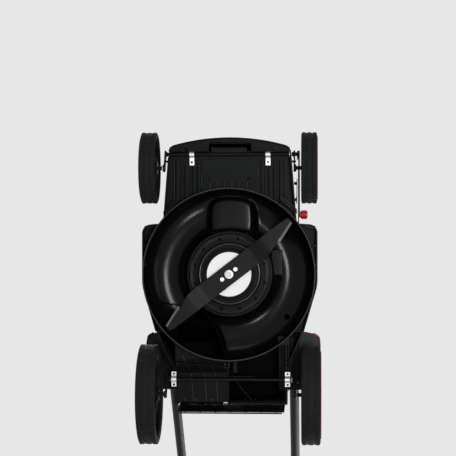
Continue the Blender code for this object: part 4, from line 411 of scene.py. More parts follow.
# Each finish: what makes it, its colour or the property that holds it, and further values.
FINISHES = {
    "chamber": (chamber_gloss, "chamber"),
    "moulded": (moulded_plastic, "moulded", 0.42, 0.06, 0.035),
    "hood": (moulded_plastic, "moulded", 0.34, 0.16, 0.018, 0.35),
    # inside: near-black plastic put where shade falls, in holes, on the mouth wall, in the tunnel and under
    # the hood: painted shade.
    "inside": (moulded_plastic, (0.0016, 0.0017, 0.0018), 0.60, 0.02, 0.050),
    "plate": (moulded_plastic, (0.0026, 0.0028, 0.0030), 0.34, 0.06, 0.012),
    # bead: glossier plastic whose lighter colour is a painted highlight on beads and bevels.
    "bead": (moulded_plastic, (0.0070, 0.0074, 0.0078), 0.24, 0.45, 0.004),
    "shine": (moulded_plastic, (0.0040, 0.0043, 0.0046), 0.30, 0.50, 0.002),
    "tunnel": (tunnel_plastic, "cover"),
    "cover": (moulded_plastic, "cover", 0.46, 0.06, 0.025),
    # seam: lighter plastic put on ribs, ridges and thin lines as a painted highlight.
    "seam": (moulded_plastic, (0.0130, 0.0135, 0.0140), 0.40, 0.16, 0.020),
    "coated": (powder_coat, "coated"),
    "blade": (painted_blade, "blade"),
    # ground: the blade's ground edges, and a painted highlight on its sail strips.
    "ground": (ground_steel_and_highlight, (0.095, 0.097, 0.099)),
    "zinc": (zinc_plate, "zinc"),
    "bolt": (zinc_plate, (0.42, 0.42, 0.43)),
    "white": (white_disc, "white"),
    "red": (red_plastic, "red"),
    "rubber": (tyre_rubber, "rubber"),
    "foam": (foam_grip, (0.012, 0.012, 0.0125)),
    "aluminium": (cast_aluminium, (0.40, 0.41, 0.42)),
    "copper": (copper_winding, (0.50, 0.20, 0.09)),
    "dark_screw": (powder_coat, (0.030, 0.030, 0.032), 0.34),
}


def finish(name):
    """A finish by its name, made when it is first asked for."""
    if name in bpy.data.materials:
        return bpy.data.materials[name]
    maker, colour, *values = FINISHES[name]
    if isinstance(colour, str):
        colour = getattr(bpy.context.scene.mower_colours, colour)
    return maker(name, colour, *values)


def smooth_stop(low, high, value):
    share = min(1.0, max(0.0, (value - low) / (high - low)))
    return share * share * (3.0 - 2.0 * share)


def arc(centre, radius, start, end, steps):
    """Points on an arc, with the angles in radians."""
    return [
        (
            centre[0] + radius * math.cos(start + (end - start) * step / steps),
            centre[1] + radius * math.sin(start + (end - start) * step / steps),
        )
        for step in range(steps + 1)
    ]


def quarter(steps, first=0):
    """Cosine and sine of even steps through a quarter turn."""
    angles = [math.pi / 2 * step / steps for step in range(first, steps + 1)]
    return [(math.cos(angle), math.sin(angle)) for angle in angles]


def hexagon(radius):
    return arc((0.0, 0.0), radius, 0.0, 2 * math.pi * 5 / 6, 5)


def to_side(side, points):
    """Points drawn on the right, mirrored if the side is -1."""
    return [(side * x, y) for x, y in points]


def mirrored(half):
    """A right half outline with its mirror image."""
    return half + [(-x, y) for x, y in reversed(half) if x > 0.01]


def rounded(corners, steps=8, closed=False):
    """A run of (x, y, radius) corners with each corner rounded."""
    points = []
    count = len(corners)
    for index, (x, y, radius) in enumerate(corners):
        if radius == 0 or (not closed and index in (0, count - 1)):
            points.append((x, y))
            continue
        here = Vector((x, y))
        before = (Vector(corners[index - 1][:2]) - here).normalized()
        after = (Vector(corners[(index + 1) % count][:2]) - here).normalized()
        half = before.angle(after) / 2
        centre = here + (before + after).normalized() * radius / math.sin(half)
        first = here + before * radius / math.tan(half) - centre
        last = here + after * radius / math.tan(half) - centre
        start = math.atan2(first.y, first.x)
        turn = math.atan2(first.x * last.y - first.y * last.x, first.dot(last))
        points += arc(centre, radius, start, start + turn, steps)
    return points


def offset_line(path, distance, closed=False):
    """The path moved to its left by a distance."""
    moved = []
    count = len(path)
    for index, point in enumerate(path):
        here = Vector(point)
        before = here - Vector(path[index - 1]) if closed or index else None
        after = Vector(path[(index + 1) % count]) - here if closed or index + 1 < count else None
        before = (before or after).normalized()
        after = (after or before).normalized()
        normal = Vector((-(before + after).y, (before + after).x)).normalized()
        stretch = max(0.5, normal.dot(Vector((-after.y, after.x))))
        moved.append(tuple(here + normal * distance / stretch))
    return moved


def band(path, thickness):
    """A closed outline along a path and back at a distance to its left."""
    return list(path) + offset_line(path, thickness)[::-1]


def resampled(path, step):
    """The path with points no further apart than a step."""
    points = []
    for here, after in zip(path, path[1:]):
        parts = max(1, math.ceil((Vector(after) - Vector(here)).length / step))
        for part in range(parts):
            points.append(tuple(Vector(here).lerp(Vector(after), part / parts)))
    return points + [path[-1]]


PLANES = {
    "X": lambda first, second, level: Vector((level, first, second)),
    "Y": lambda first, second, level: Vector((first, level, second)),
    "Z": lambda first, second, level: Vector((first, second, level)),
}


def tidy(bm, near=0.001):
    """Merge doubled points and turn every face outwards."""
    bmesh.ops.remove_doubles(bm, verts=bm.verts, dist=near)
    bmesh.ops.dissolve_degenerate(bm, edges=bm.edges, dist=near)
    bmesh.ops.recalc_face_normals(bm, faces=bm.faces)
    return bm


def slab(outline, low, high, along="Z"):
    """A solid with the given outline, between two levels of one axis."""
    place = PLANES[along]
    bm = bmesh.new()
    face = bm.faces.new([bm.verts.new(place(first, second, low)) for first, second in outline])
    grown = bmesh.ops.extrude_face_region(bm, geom=[face])["geom"]
    points = [item for item in grown if isinstance(item, bmesh.types.BMVert)]
    bmesh.ops.translate(bm, verts=points, vec=place(0.0, 0.0, high - low))
    return tidy(bm)


def softened(bm, width, segments=2, angle=0.52):
    """Round every edge sharper than an angle."""
    bmesh.ops.dissolve_limit(bm, angle_limit=0.01, verts=bm.verts, edges=bm.edges)
    sharp = [edge for edge in bm.edges if len(edge.link_faces) == 2 and edge.calc_face_angle() > angle]
    bmesh.ops.bevel(
        bm, geom=sharp, offset=width, offset_type="OFFSET", segments=segments, profile=0.5, affect="EDGES",
        clamp_overlap=True, material=-1,
    )
    return tidy(bm)


def box(low, high):
    """A box with sharp edges."""
    outline = [(low[0], low[1]), (high[0], low[1]), (high[0], high[1]), (low[0], high[1])]
    return slab(outline, low[2], high[2])


def soft_box(low, high, radius):
    """A box with its upright edges rounded."""
    (x, y, bottom), (far_x, far_y, top) = low, high
    corners = [(x, y, radius), (far_x, y, radius), (far_x, far_y, radius), (x, far_y, radius)]
    return slab(rounded(corners, 4, True), bottom, top)


def block(low, high, soft=0.6, segments=2):
    """A box with all edges rounded."""
    return softened(box(low, high), soft, segments)


def fin(x, half, low, high, soft=0.5):
    """A rounded block of a half-width about x, between two (y, z) corners."""
    return block((x - half, *low), (x + half, *high), soft)


def lathe(profile, steps):
    """Turn a closed outline of (radius, height) points about the Z axis."""
    bm = bmesh.new()
    points = [bm.verts.new((radius, 0.0, height)) for radius, height in profile]
    edges = [bm.edges.new(pair) for pair in zip(points, points[1:] + points[:1])]
    bmesh.ops.spin(
        bm, geom=points + edges, axis=(0, 0, 1), cent=(0, 0, 0), angle=2 * math.pi, steps=steps,
        use_merge=True,
    )
    return tidy(bm)


def drum(radius, low, high, steps):
    """A plain cylinder about the Z axis."""
    return lathe([(0.0, low), (radius, low), (radius, high), (0.0, high)], steps)


def put(bm, matrix):
    bmesh.ops.transform(bm, verts=bm.verts, matrix=matrix)
    return bm


def moved(bm, shift=(0.0, 0.0, 0.0), turn=0.0, axis="Z"):
    """Turn a shape about an axis through the origin, then shift it."""
    return put(bm, Matrix.Translation(Vector(shift)) @ Matrix.Rotation(turn, 4, axis))


def pointed(bm, place, direction):
    """Turn a shape's Z axis into a direction and put it at a place."""
    turn = Vector(direction).to_track_quat("Z", "Y").to_matrix().to_4x4()
    return put(bm, Matrix.Translation(Vector(place)) @ turn)


def outwards(bm, side, place):
    """Turn a shape drawn with its axle up Z to one side and put it at a place."""
    return put(bm, Matrix.Translation(Vector(place)) @ Matrix.Rotation(side * math.pi / 2, 4, "Y"))


def lathe_between(start, end, profile, steps):
    """A turned shape whose height runs from start towards end."""
    return pointed(lathe(profile, steps), start, (Vector(end) - Vector(start)).normalized())


def bore(start, end, radius, steps):
    """A plain cylinder between two points."""
    length = (Vector(end) - Vector(start)).length
    return lathe_between(start, end, [(0.0, 0.0), (radius, 0.0), (radius, length), (0.0, length)], steps)


def bar_round(start, end, radius, steps, soft=0.5):
    """A round bar with rounded ends."""
    length = (Vector(end) - Vector(start)).length
    profile = [(0.0, 0.0), (radius - soft, 0.0), (radius - 0.3 * soft, 0.3 * soft), (radius, soft)]
    profile += [(radius, length - soft), (radius - 0.3 * soft, length - 0.3 * soft), (radius - soft, length)]
    return lathe_between(start, end, profile + [(0.0, length)], steps)


def together(*shapes):
    """Several separate shapes in one mesh."""
    base = shapes[0]
    for shape in shapes[1:]:
        mesh = bpy.data.meshes.new("joined")
        shape.to_mesh(mesh)
        shape.free()
        base.from_mesh(mesh)
        bpy.data.meshes.remove(mesh)
    return base


def stand_in(bm):
    """A temporary object of a shape."""
    mesh = bpy.data.meshes.new("temporary")
    bm.to_mesh(mesh)
    bm.free()
    made = bpy.data.objects.new("temporary", mesh)
    bpy.context.scene.collection.objects.link(made)
    return made


def taken(temporary):
    """The finished shape of a temporary object, which is removed."""
    bpy.context.view_layer.update()
    graph = bpy.context.evaluated_depsgraph_get()
    mesh = bpy.data.meshes.new_from_object(temporary.evaluated_get(graph))
    bm = bmesh.new()
    bm.from_mesh(mesh)
    data = temporary.data
    bpy.data.objects.remove(temporary)
    if isinstance(data, bpy.types.Mesh):
        bpy.data.meshes.remove(data)
    else:
        bpy.data.curves.remove(data)
    bpy.data.meshes.remove(mesh)
    return bm


def combined(base, operation, *others):
    """Join, cut or cross a shape with others."""
    target = stand_in(base)
    helpers = [stand_in(other) for other in others]
    for helper in helpers:
        step = target.modifiers.new("step", "BOOLEAN")
        step.operation = operation
        step.solver = "EXACT"
        step.object = helper
    bm = taken(target)
    for helper in helpers:
        mesh = helper.data
        bpy.data.objects.remove(helper)
        bpy.data.meshes.remove(mesh)
    return tidy(bm)


def cut(base, *others):
    return combined(base, "DIFFERENCE", *others)


def tube(path, radius, resolution, smooth=False):
    """A round tube along a path; a smooth path is bent between its points."""
    curve = bpy.data.curves.new("temporary", "CURVE")
    curve.dimensions = "3D"
    curve.bevel_depth = radius
    curve.bevel_resolution = resolution
    curve.use_fill_caps = True
    curve.resolution_u = 6
    line = curve.splines.new("NURBS" if smooth else "POLY")
    line.points.add(len(path) - 1)
    for point, place in zip(line.points, path):
        point.co = (*place, 1.0)
    if smooth:
        line.order_u = 3
        line.use_endpoint_u = True
    temporary = bpy.data.objects.new("temporary", curve)
    bpy.context.scene.collection.objects.link(temporary)
    return tidy(taken(temporary))


def copy_of(node):
    """A CAD node's solid, with its loose triangles merged, in millimetres from the deck's centre."""
    bm = bmesh.new()
    bm.from_mesh(bpy.data.objects[node].data)
    bmesh.ops.translate(bm, verts=bm.verts, vec=(0.0, -DECK_Y, 0.0))
    bmesh.ops.scale(bm, verts=bm.verts, vec=(PER_METRE,) * 3)
    return tidy(bm)


def make_piece(name, bm, looks, body="mower", node=None, angle=0.6):
    """Put a drawn shape into the scene as one finished piece, which may replace a CAD node."""
    put(bm, Matrix.Translation((0.0, DECK_Y, 0.0)) @ Matrix.Scale(TO_METRES, 4))
    looks = looks.split()
    for face in bm.faces:
        face.material_index = min(face.material_index, len(looks) - 1)
    mesh = bpy.data.meshes.new(name)
    bm.to_mesh(mesh)
    bm.free()
    for look in looks:
        mesh.materials.append(finish(look))
    mesh.shade_smooth()
    mesh.set_sharp_from_angle(angle=angle)
    piece = bpy.data.objects.new(name, mesh)
    bpy.context.scene.collection.objects.link(piece)
    weighted = piece.modifiers.new("weighted", "WEIGHTED_NORMAL")
    weighted.keep_sharp = True
    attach(piece, body)
    if node:
        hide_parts(node)
    return piece


def paint(bm, index, chosen=None):
    """Give the chosen faces, or all of them, a material index."""
    for face in bm.faces:
        if chosen is None or chosen(face):
            face.material_index = index
    return bm


def in_holes(places, radius, above):
    """A test for faces inside holes at some places, above a height."""

    def test(face):
        centre = face.calc_center_median()
        return centre.z > above and min((centre.xy - place).length for place in places) < radius

    return test


def on_rings(radii, half):
    """A test for faces near some distances from the blade's axis."""

    def test(face):
        radius = face.calc_center_median().xy.length
        return min(abs(radius - near) for near in radii) < half

    return test


def screw(place, direction, head_r=4.0, head=2.2):
    """Pan-head screw with a cross recess, standing on a face."""
    profile = [(0.0, -1.0), (head_r, -1.0), (head_r, 0.4 * head), (0.92 * head_r, 0.75 * head)]
    profile += [(0.7 * head_r, 0.95 * head), (0.5 * head_r, head), (0.0, head)]
    bm = lathe(profile, 24)
    long = 0.62 * head_r
    thin = 0.13 * head_r
    low = 0.35 * head
    cross = [
        block((-long, -thin, low), (long, thin, head + 1.0), 0.05, 1),
        block((-thin, -long, low), (thin, long, head + 1.0), 0.05, 1),
    ]
    return pointed(cut(bm, *cross), place, direction)


NOSE_HALF = 154.0
NOSE_Y = 346.0
NOSE_DEPTH = 23.0
STEP_HALF = 169.0
STEP_Y = 128.0
SIDE_HALF = 222.0
WAIST_HALF = 187.0
WAIST_Y = -146.0
TAIL_START_Y = -248.0
TAIL_HALF = 145.0
TAIL_Y = -340.0
SKIRT_Z = 95.0
TRAY_Z = 123.0
TRAY_TOP = 126.0
RIM_R = 217.5
INNER_R = 214.5
RIM_Z = 52.0
SHOULDER_Z = 96.0
CROWN_R = 152.5
CROWN_Z = 146.0
PLATEAU_R = 108.0
PLATEAU_Z = 112.3
WALL = 3.0
FRONT_PIVOT = (303.99, 117.02)
REAR_PIVOT = (-272.01, 154.02)
ROD_R = 5.0
# The mouth's curved edge in plan, from behind the chamber forwards and to the right.
MOUTH = (
    (11.0, -216.0), (13.5, -200.0), (20.0, -178.0), (33.0, -147.0),
    (52.0, -113.0), (72.0, -92.0), (84.0, -90.0),
)


def half_plan(tail):
    """Right half of the deck's plan, from the middle of the nose down to a tail of given corners."""
    radius = (NOSE_HALF**2 + NOSE_DEPTH**2) / (2 * NOSE_DEPTH)
    spread = math.asin(NOSE_HALF / radius) * 0.86
    nose = arc((0.0, NOSE_Y - radius), radius, math.pi / 2, math.pi / 2 - spread, 16)
    corners = [
        (*nose[-1], 0.0),
        (NOSE_HALF, NOSE_Y - NOSE_DEPTH, 20.0),
        (STEP_HALF, STEP_Y, 7.0),
        (SIDE_HALF, STEP_Y - 4.0, 22.0),
        (SIDE_HALF, -30.0, 120.0),
        *tail,
    ]
    return nose[:-1] + rounded(corners, 10)


def body_plan(waist):
    """The deck's plan down to its waist."""
    return mirrored(half_plan([(waist, WAIST_Y, 0.0)]))


def bowl_z(radius):
    """Height of the chamber's plain underside at a radius."""
    if radius < CROWN_R:
        share = min(1.0, (CROWN_R - radius) / (CROWN_R - PLATEAU_R))
        return PLATEAU_Z + (CROWN_Z - PLATEAU_Z) * math.sqrt(1.0 - share * share)
    share = min(1.0, (radius - CROWN_R) / (INNER_R - CROWN_R))
    return SHOULDER_Z + (CROWN_Z - SHOULDER_Z) * math.sqrt(1.0 - share * share)


def soft_max(first, second, width):
    return (first + second + math.sqrt((first - second) ** 2 + width * width)) / 2


def soft_min(first, second, width):
    return (first + second - math.sqrt((first - second) ** 2 + width * width)) / 2


def bulge_z(x, y):
    """Height of the battery bay's bulge in the chamber roof."""
    radius = math.hypot(x, y)
    across = soft_max(x - 47.0, -57.0 - x, 1.0)
    along = soft_max(radius - 192.0, 114.5 - radius, 1.0)
    outside = soft_max(across, along, 14.0) - 1.0
    rise = (outside + math.sqrt(outside * outside + 9.0)) / 2
    return 117.5 + 0.03 * (y - 114.0) + 2.3 * rise


def mouth_distance(x, y):
    """Distance from a point of the crown to the mouth's curved edge, 0 inside the mouth."""
    place = Vector((x, y))
    nearest = 99.0
    inside = False
    for start, end in zip(MOUTH, MOUTH[1:]):
        first = Vector(start)
        along = Vector(end) - first
        share = min(1.0, max(0.0, (place - first).dot(along) / along.length_squared))
        gap = place - first - along * share
        if gap.length < nearest:
            nearest = gap.length
            inside = along.x * gap.y - along.y * gap.x < 0
    return 0.0 if inside else nearest


def mouth_outline():
    """The mouth's whole plan outline, out past the chamber's wall."""
    corners = [(11.0, -232.0, 0.0), (*MOUTH[0], 0.0)]
    corners += [(x, y, 12.0) for x, y in MOUTH[1:]]
    corners += [(114.0, -98.0, 14.0), (138.0, -126.0, 14.0), (138.0, -232.0, 0.0)]
    return rounded(corners, 5)


def chamber_bowl(steps):
    """The round chamber: rim, wall, crown and plateau, with the bulge and the turned-up mouth edge."""
    outer = INNER_R - CROWN_R
    inner = CROWN_R - PLATEAU_R
    under = [(RIM_R - 0.9, RIM_Z), (RIM_R - 2.1, RIM_Z)]
    under += [(INNER_R, RIM_Z + 0.9), (INNER_R, 66.0), (INNER_R, 82.0)]
    under += [(CROWN_R + outer * c, SHOULDER_Z + (CROWN_Z - SHOULDER_Z) * s) for c, s in quarter(30)]
    under += [(CROWN_R - inner * s, PLATEAU_Z + (CROWN_Z - PLATEAU_Z) * c) for c, s in quarter(26, 1)]
    under += [(100.0, PLATEAU_Z), (80.6, PLATEAU_Z), (80.0, PLATEAU_Z + 0.6)]
    outer = RIM_R - CROWN_R
    inner += WALL
    top = CROWN_Z + WALL
    over = [(80.0, PLATEAU_Z + WALL), (105.0, PLATEAU_Z + WALL)]
    over += [(CROWN_R - inner * c, PLATEAU_Z + (top - PLATEAU_Z) * s) for c, s in quarter(8, 1)]
    over += [(CROWN_R + outer * s, SHOULDER_Z + (top - SHOULDER_Z) * c) for c, s in quarter(8, 1)]
    bm = lathe(under + over + [(RIM_R, RIM_Z + 0.9)], steps)
    for vert in bm.verts:
        x, y, z = vert.co
        radius = math.hypot(x, y)
        if not 104.0 < radius < INNER_R - 0.1:
            continue
        if y > 60.0 and z < bowl_z(radius) + 1.0:
            vert.co.z = soft_min(z, bulge_z(x, y), 5.0)
        elif y < -60.0:
            near = mouth_distance(x, y)
            if near < 13.0:
                vert.co.z = z + 6.5 * (1.0 - near / 13.0) ** 2
    drain = lathe([(0.0, 60.0), (8.2, 60.0), (7.4, 126.0), (7.4, 160.0), (0.0, 160.0)], 32)
    return cut(bm, slab(mouth_outline(), 104.0, 175.0), moved(drain, (-145.0, -110.0, 0.0)))


def front_tray(soft):
    """Skirt and roof of the front tray and the flanks, with the slot for the rod."""
    plan = body_plan(WAIST_HALF + 1.0)
    y = FRONT_PIVOT[0]
    tray = cut(
        slab(plan, SKIRT_Z, TRAY_TOP),
        slab(offset_line(plan, -WALL, True), SKIRT_Z - 10.0, TRAY_Z),
        drum(INNER_R + 1.0, 0.0, 300.0, 120),
        box((-240.0, y - 6.5, 80.0), (240.0, y + 6.5, TRAY_Z)),
        soft_box((-58.0, 312.0, 80.0), (58.0, 331.0, 150.0), 5.0),
    )
    return softened(tray, soft)


def nose_band():
    """Lower face of the nose in front of the rod, with the finger recess and dark clip pockets."""
    plan = offset_line(body_plan(WAIST_HALF), -WALL - 0.4, True)
    recess = [(-55.0, 300.0, 0.0), (-55.0, 333.0, 6.0), (53.0, 334.0, 6.0), (53.0, 300.0, 0.0)]
    wall_line = rounded([(-56.0, 311.5, 0.0), (-56.0, 334.0, 6.0), (54.0, 335.0, 6.0), (54.0, 311.5, 0.0)], 5)
    face = cut(
        slab(plan, 103.0, 106.0),
        box((-260.0, -200.0, 90.0), (260.0, 311.5, 120.0)),
        slab(rounded(recess, 5), 90.0, 130.0),
        box((107.0, 300.0, 90.0), (116.0, 319.0, 130.0)),
        box((-116.0, 300.0, 90.0), (-106.0, 319.0, 130.0)),
    )
    parts = [
        softened(face, 0.7),
        softened(slab(band(wall_line, 2.0), 104.0, 149.0), 0.5),
        block((-44.0, 307.5, 110.0), (46.0, 321.0, 124.0), 1.2, 3),
        block((-54.0, 331.0, 118.0), (52.0, 333.5, 148.0), 0.5),
    ]
    for x, long in ((60.0, 18.0), (83.5, 12.0), (45.0, 11.0), (-67.0, 12.0), (-60.0, 9.0), (126.0, 8.0)):
        parts.append(fin(x, 1.0, (312.0, 100.4), (312.0 + long, 104.0), 0.45))
    for x in (-150.0, 150.0):
        parts.append(fin(x, 2.0, (311.5, 96.0), (322.0, 124.0)))
    return together(*parts)


def nose_plate():
    """Cover plate with two blind holes."""
    plate = softened(copy_of("front_plate"), 0.5, 2, 0.5)
    low = min(vert.co.z for vert in plate.verts)
    places = (Vector((51.7, 242.0)), Vector((-46.5, 242.0)))
    plate = cut(plate, *[moved(drum(3.3, low - 2.0, low + 1.2, 24), (*place, 0.0)) for place in places])
    # The holes' faces get the near-black second finish as painted shade.
    return paint(plate, 1, in_holes(places, 3.4, low + 0.1))


def outside_ring(shape):
    """A shape without what would reach into the chamber."""
    return cut(shape, drum(RIM_R - 0.7, 0.0, 300.0, 120))


# Channels beside the cover plate: from x to x, lowest z and front end.
CHANNELS = (
    (126.0, 137.0, 112.5, 289.5),
    (103.0, 114.5, 114.0, 274.0),
    (85.0, 94.5, 114.5, 274.0),
    (75.2, 83.0, 116.0, 289.5),
    (-137.0, -126.5, 112.5, 289.5),
    (-118.0, -111.5, 115.0, 289.5),
    (-108.0, -99.0, 114.0, 274.0),
    (-88.0, -79.0, 114.5, 289.5),
)


def ribbed_field():
    """Lengthwise channels on both sides of the cover plate, behind the rod."""
    parts = []
    for low, high, z, front in CHANNELS:
        parts.append(outside_ring(block((low, 110.0, z), (high, front, 124.0), 1.6, 3)))
    # The thin lines and the ridges below take the lighter seam finish as a painted highlight.
    lines = ((141.5, 288.0, 150.0), (-141.5, 288.0, 150.0), (72.2, 262.0, 220.0), (-71.5, 270.0, 215.0))
    for x, front, back in lines:
        parts.append(paint(outside_ring(fin(x, 0.8, (back, 116.5), (front, 124.0))), 1))
    for x, y in ((-123.0, 246.0), (-96.0, 258.0), (98.0, 252.0), (120.0, 240.0)):
        parts.append(fin(x, 3.0, (y - 0.7, 117.0), (y + 0.7, 124.0), 0.4))
    for x in (50.0, 32.6, 14.4, -4.7, -24.8, -44.0):
        ridge = fin(0.0, 1.0, (-11.0, 113.0), (9.0, 124.0), 0.6)
        parts.append(paint(moved(ridge, (x, 225.5, 0.0), 0.05), 1))
    parts.append(outside_ring(block((-78.0, 205.0, 119.8), (78.0, 232.7, 123.6), 0.6)))
    for side in (1, -1):
        parts.append(fin(side * 163.0, 5.0, (283.0, 110.0), (288.0, 124.0), 0.6))
    return together(*parts)


def corner_brackets():
    """Slanted stiffeners between the tray and the chamber's wall."""
    tall = [(-128.0, 197.0), (-133.0, 197.0), (-170.0, 165.0)]
    tall += [(-171.0, 152.0), (-150.0, 168.0), (-128.0, 187.0)]
    tall_hollow = [(-134.0, 191.0), (-166.0, 163.0), (-166.5, 160.0), (-150.0, 173.0), (-134.0, 186.0)]
    low = [(141.0, 190.0), (136.0, 191.0), (129.0, 186.0), (158.0, 156.0), (168.0, 150.0), (169.0, 158.0)]
    low_hollow = [(139.0, 186.0), (134.0, 185.0), (158.0, 160.0), (163.0, 160.0)]
    parts = [
        softened(cut(slab(tall, 97.0, 124.0), slab(tall_hollow, 90.0, 106.0)), 0.7),
        softened(cut(slab(low, 101.0, 124.0), slab(low_hollow, 90.0, 108.0)), 0.7),
    ]
    for side in (1, -1):
        parts.append(fin(side * 214.5, 3.0, (20.0, 97.0), (26.0, 124.0)))
        parts.append(fin(side * 216.0, 3.0, (70.0, 97.0), (74.0, 124.0)))
        outline = to_side(side, [(176.0, 126.0), (217.0, 122.0), (219.0, 112.0), (196.0, 118.0)])
        parts.append(softened(slab(outline[::side], 108.0, 124.0), 0.6))
    return together(*parts)


def rear_frame(soft):
    """Rear walls, tunnel and saddles: the CAD deck behind the chamber, with rounded edges."""
    frame_part = cut(
        copy_of("deck_shell"),
        drum(RIM_R + 0.3, 20.0, 150.2, 96),
        box((-300.0, -95.0, 20.0), (300.0, 400.0, 300.0)),
        box((-300.0, -147.0, 20.0), (300.0, -90.0, 150.0)),
    )

    # Faces inside the tunnel and under its roof get the near-black second finish as painted shade.
    def in_tunnel(face):
        x, y, z = face.calc_center_median()
        return (z > 205.0 and face.normal.z < -0.3) or (5.0 < x < 140.5 and y > -240.0 and z > 110.0)

    return paint(softened(frame_part, soft, 2, 0.6), 1, in_tunnel)


def rear_details():
    """Second wall line, oval boss, ribs and webs that the photo shows around the tunnel."""
    parts = []
    for side in (1, -1):
        line = rounded([(181.0, -150.0, 0.0), (137.0, -248.0, 40.0), (136.5, -300.0, 0.0)], 6)
        parts.append(softened(slab(band(to_side(side, line), 1.8 * side), 150.0, 199.0), 0.5))
    stadium = arc((6.5, -222.0), 8.0, 0.0, math.pi, 12) + arc((6.5, -232.0), 8.0, math.pi, 2 * math.pi, 12)
    holes = [moved(drum(3.1, 80.0, 140.0, 24), (6.5, y, 0.0)) for y in (-223.0, -232.0)]
    web = band([(4.0, -250.0), (-28.0, -296.0), (-60.0, -334.0)], 2.0)
    parts += [
        softened(cut(slab(stadium, 92.0, 150.0), *holes), 0.6),
        block((-18.0, -252.0, 118.0), (-9.0, -217.0, 168.0), 0.8),
        block((-60.0, -268.0, 176.0), (4.0, -265.5, 196.0), 0.6),
        softened(slab(web, 174.0, 200.0), 0.5),
        block((-150.0, -181.0, 112.0), (-122.0, -158.0, 124.0), 0.9),
        block((-139.0, -333.0, 186.0), (4.0, -330.5, 214.0), 0.8),
    ]
    for x in (-120.0, -92.0, -64.0, -36.0):
        parts.append(fin(x, 1.0, (-331.0, 170.0), (-322.0, 214.0), 0.4))
    for x, back in ((-143.5, -240.0), (-149.5, -226.0), (-158.0, -208.0)):
        rib = fin(x, 0.9, (back, 150.4), (-164.0, 186.0))
        # The ribs' downward faces take the lighter seam finish as a painted highlight.
        parts.append(paint(rib, 1, lambda face: face.normal.z < -0.5))
    for x, y in ((-165.0, -190.0), (168.0, -186.0)):
        parts.append(fin(x, 1.2, (y - 14.0, 150.0), (y + 14.0, 199.0)))
    return together(*parts)


def mouth_wall():
    """Wall that carries the mouth's curved edge up into the tunnel."""
    line = resampled(mouth_outline()[1:-1], 6.0)
    return softened(slab(band(line, -2.2), 128.0, 186.0), 0.6)


def tunnel_plate():
    """Tunnel floor: a plate bent up behind the chamber."""
    path = [(-150.0, 100.0), (-216.0, 100.0), (-256.0, 165.5), (-332.0, 165.5)]
    plate = slab(band(path, -2.5), 8.3, 137.7, "X")
    return softened(cut(plate, drum(RIM_R + 0.3, 50.0, 255.0, 120)), 0.45)


# Ribs under the tunnel floor: their lines in plan and their widths.
FLOOR_RIBS = (
    ([(117.0, -205.0), (101.0, -262.0), (95.0, -328.0)], 1.8),
    ([(84.0, -216.0), (67.0, -262.0), (61.0, -328.0)], 1.8),
    ([(49.0, -221.0), (38.0, -262.0), (32.0, -328.0)], 1.8),
    ([(136.0, -226.7), (70.0, -231.0), (9.0, -235.0)], 2.2),
    ([(136.0, -247.0), (9.0, -251.0)], 1.6),
)


def tunnel_ribs():
    """Low ribs on the tunnel floor's underside: slanted lengthwise ones and two across."""
    path = [(-200.0, 98.4), (-216.5, 98.4), (-256.5, 163.9), (-330.0, 163.9)]
    ribs = []
    for line, thick in FLOOR_RIBS:
        under = slab(band(path, 2.0), 8.6, 137.4, "X")
        ribs.append(combined(under, "INTERSECT", slab(band(line, thick), 90.0, 240.0)))
    return outside_ring(together(*ribs))


def bead(radius, height, half, depth):
    """Points of a round bead that stands out below a turned face."""
    angles = [math.pi * step / 6 for step in range(7)]
    return [(radius - half * math.cos(angle), height - depth * math.sin(angle)) for angle in angles]


LINE_RADII = (93.6, 96.6, 99.6)


def motor_face(steps):
    """Stepped motor plate with its hub, fine edge rings and twelve holes, the ring at 75.6 mm painted lighter
    as a highlight and the holes' walls painted near-black as shade.
    """
    profile = [(15.4, 112.0), (15.4, 101.0), (16.2, 100.2), (24.0, 100.2), (24.8, 101.0), (62.0, 101.0)]
    profile += bead(65.0, 101.0, 1.6, 0.8) + bead(75.6, 101.0, 1.9, 1.0)
    profile += [(79.0, 102.6), (80.4, 104.4), (82.0, 104.6)]
    for radius, height, depth in zip(LINE_RADII, (104.6, 105.0, 105.4), (1.1, 1.1, 1.2)):
        profile += bead(radius, height, 0.9, depth)
    profile += [(101.6, 106.0), (103.0, 107.4), (103.0, 112.0)]
    places = []
    for number in range(12):
        angle = math.radians(16.5 + 30.0 * number)
        places.append(Vector((-91.0 * math.cos(angle), 91.0 * math.sin(angle))))
    hole = [(0.0, 100.0), (3.4, 100.0), (3.4, 105.2), (2.8, 105.9), (2.8, 111.4), (0.0, 111.4)]
    plate = cut(lathe(profile, steps), *[moved(lathe(hole, 20), (*place, 0.0)) for place in places])
    # The ring at 75.6 mm takes the lighter bead finish: a painted highlight.
    plate = paint(plate, 1, on_rings((75.6,), 1.7))
    plate = paint(plate, 3, on_rings(LINE_RADII, 0.85))
    # The holes' walls take the near-black inside finish: painted shade.
    return paint(plate, 2, in_holes(places, 3.45, 104.7))


def motor_ribs():
    """Shallow radial webs between the motor plate's rings."""
    parts = []
    for number in range(12):
        web = block((80.0, -0.9, 103.7), (92.4, 0.9, 106.0), 0.35)
        parts.append(moved(web, turn=-math.radians(1.5 + 30.0 * number)))
    return together(*parts)


BLADE_TURN = math.radians(142.5)
BLADE_LOW = 68.0
BLADE_THICK = 4.0
PIN_REACH = 21.0
PIN = Vector((PIN_REACH * math.cos(BLADE_TURN), PIN_REACH * math.sin(BLADE_TURN), 0.0))
PINS = [PIN, -PIN]
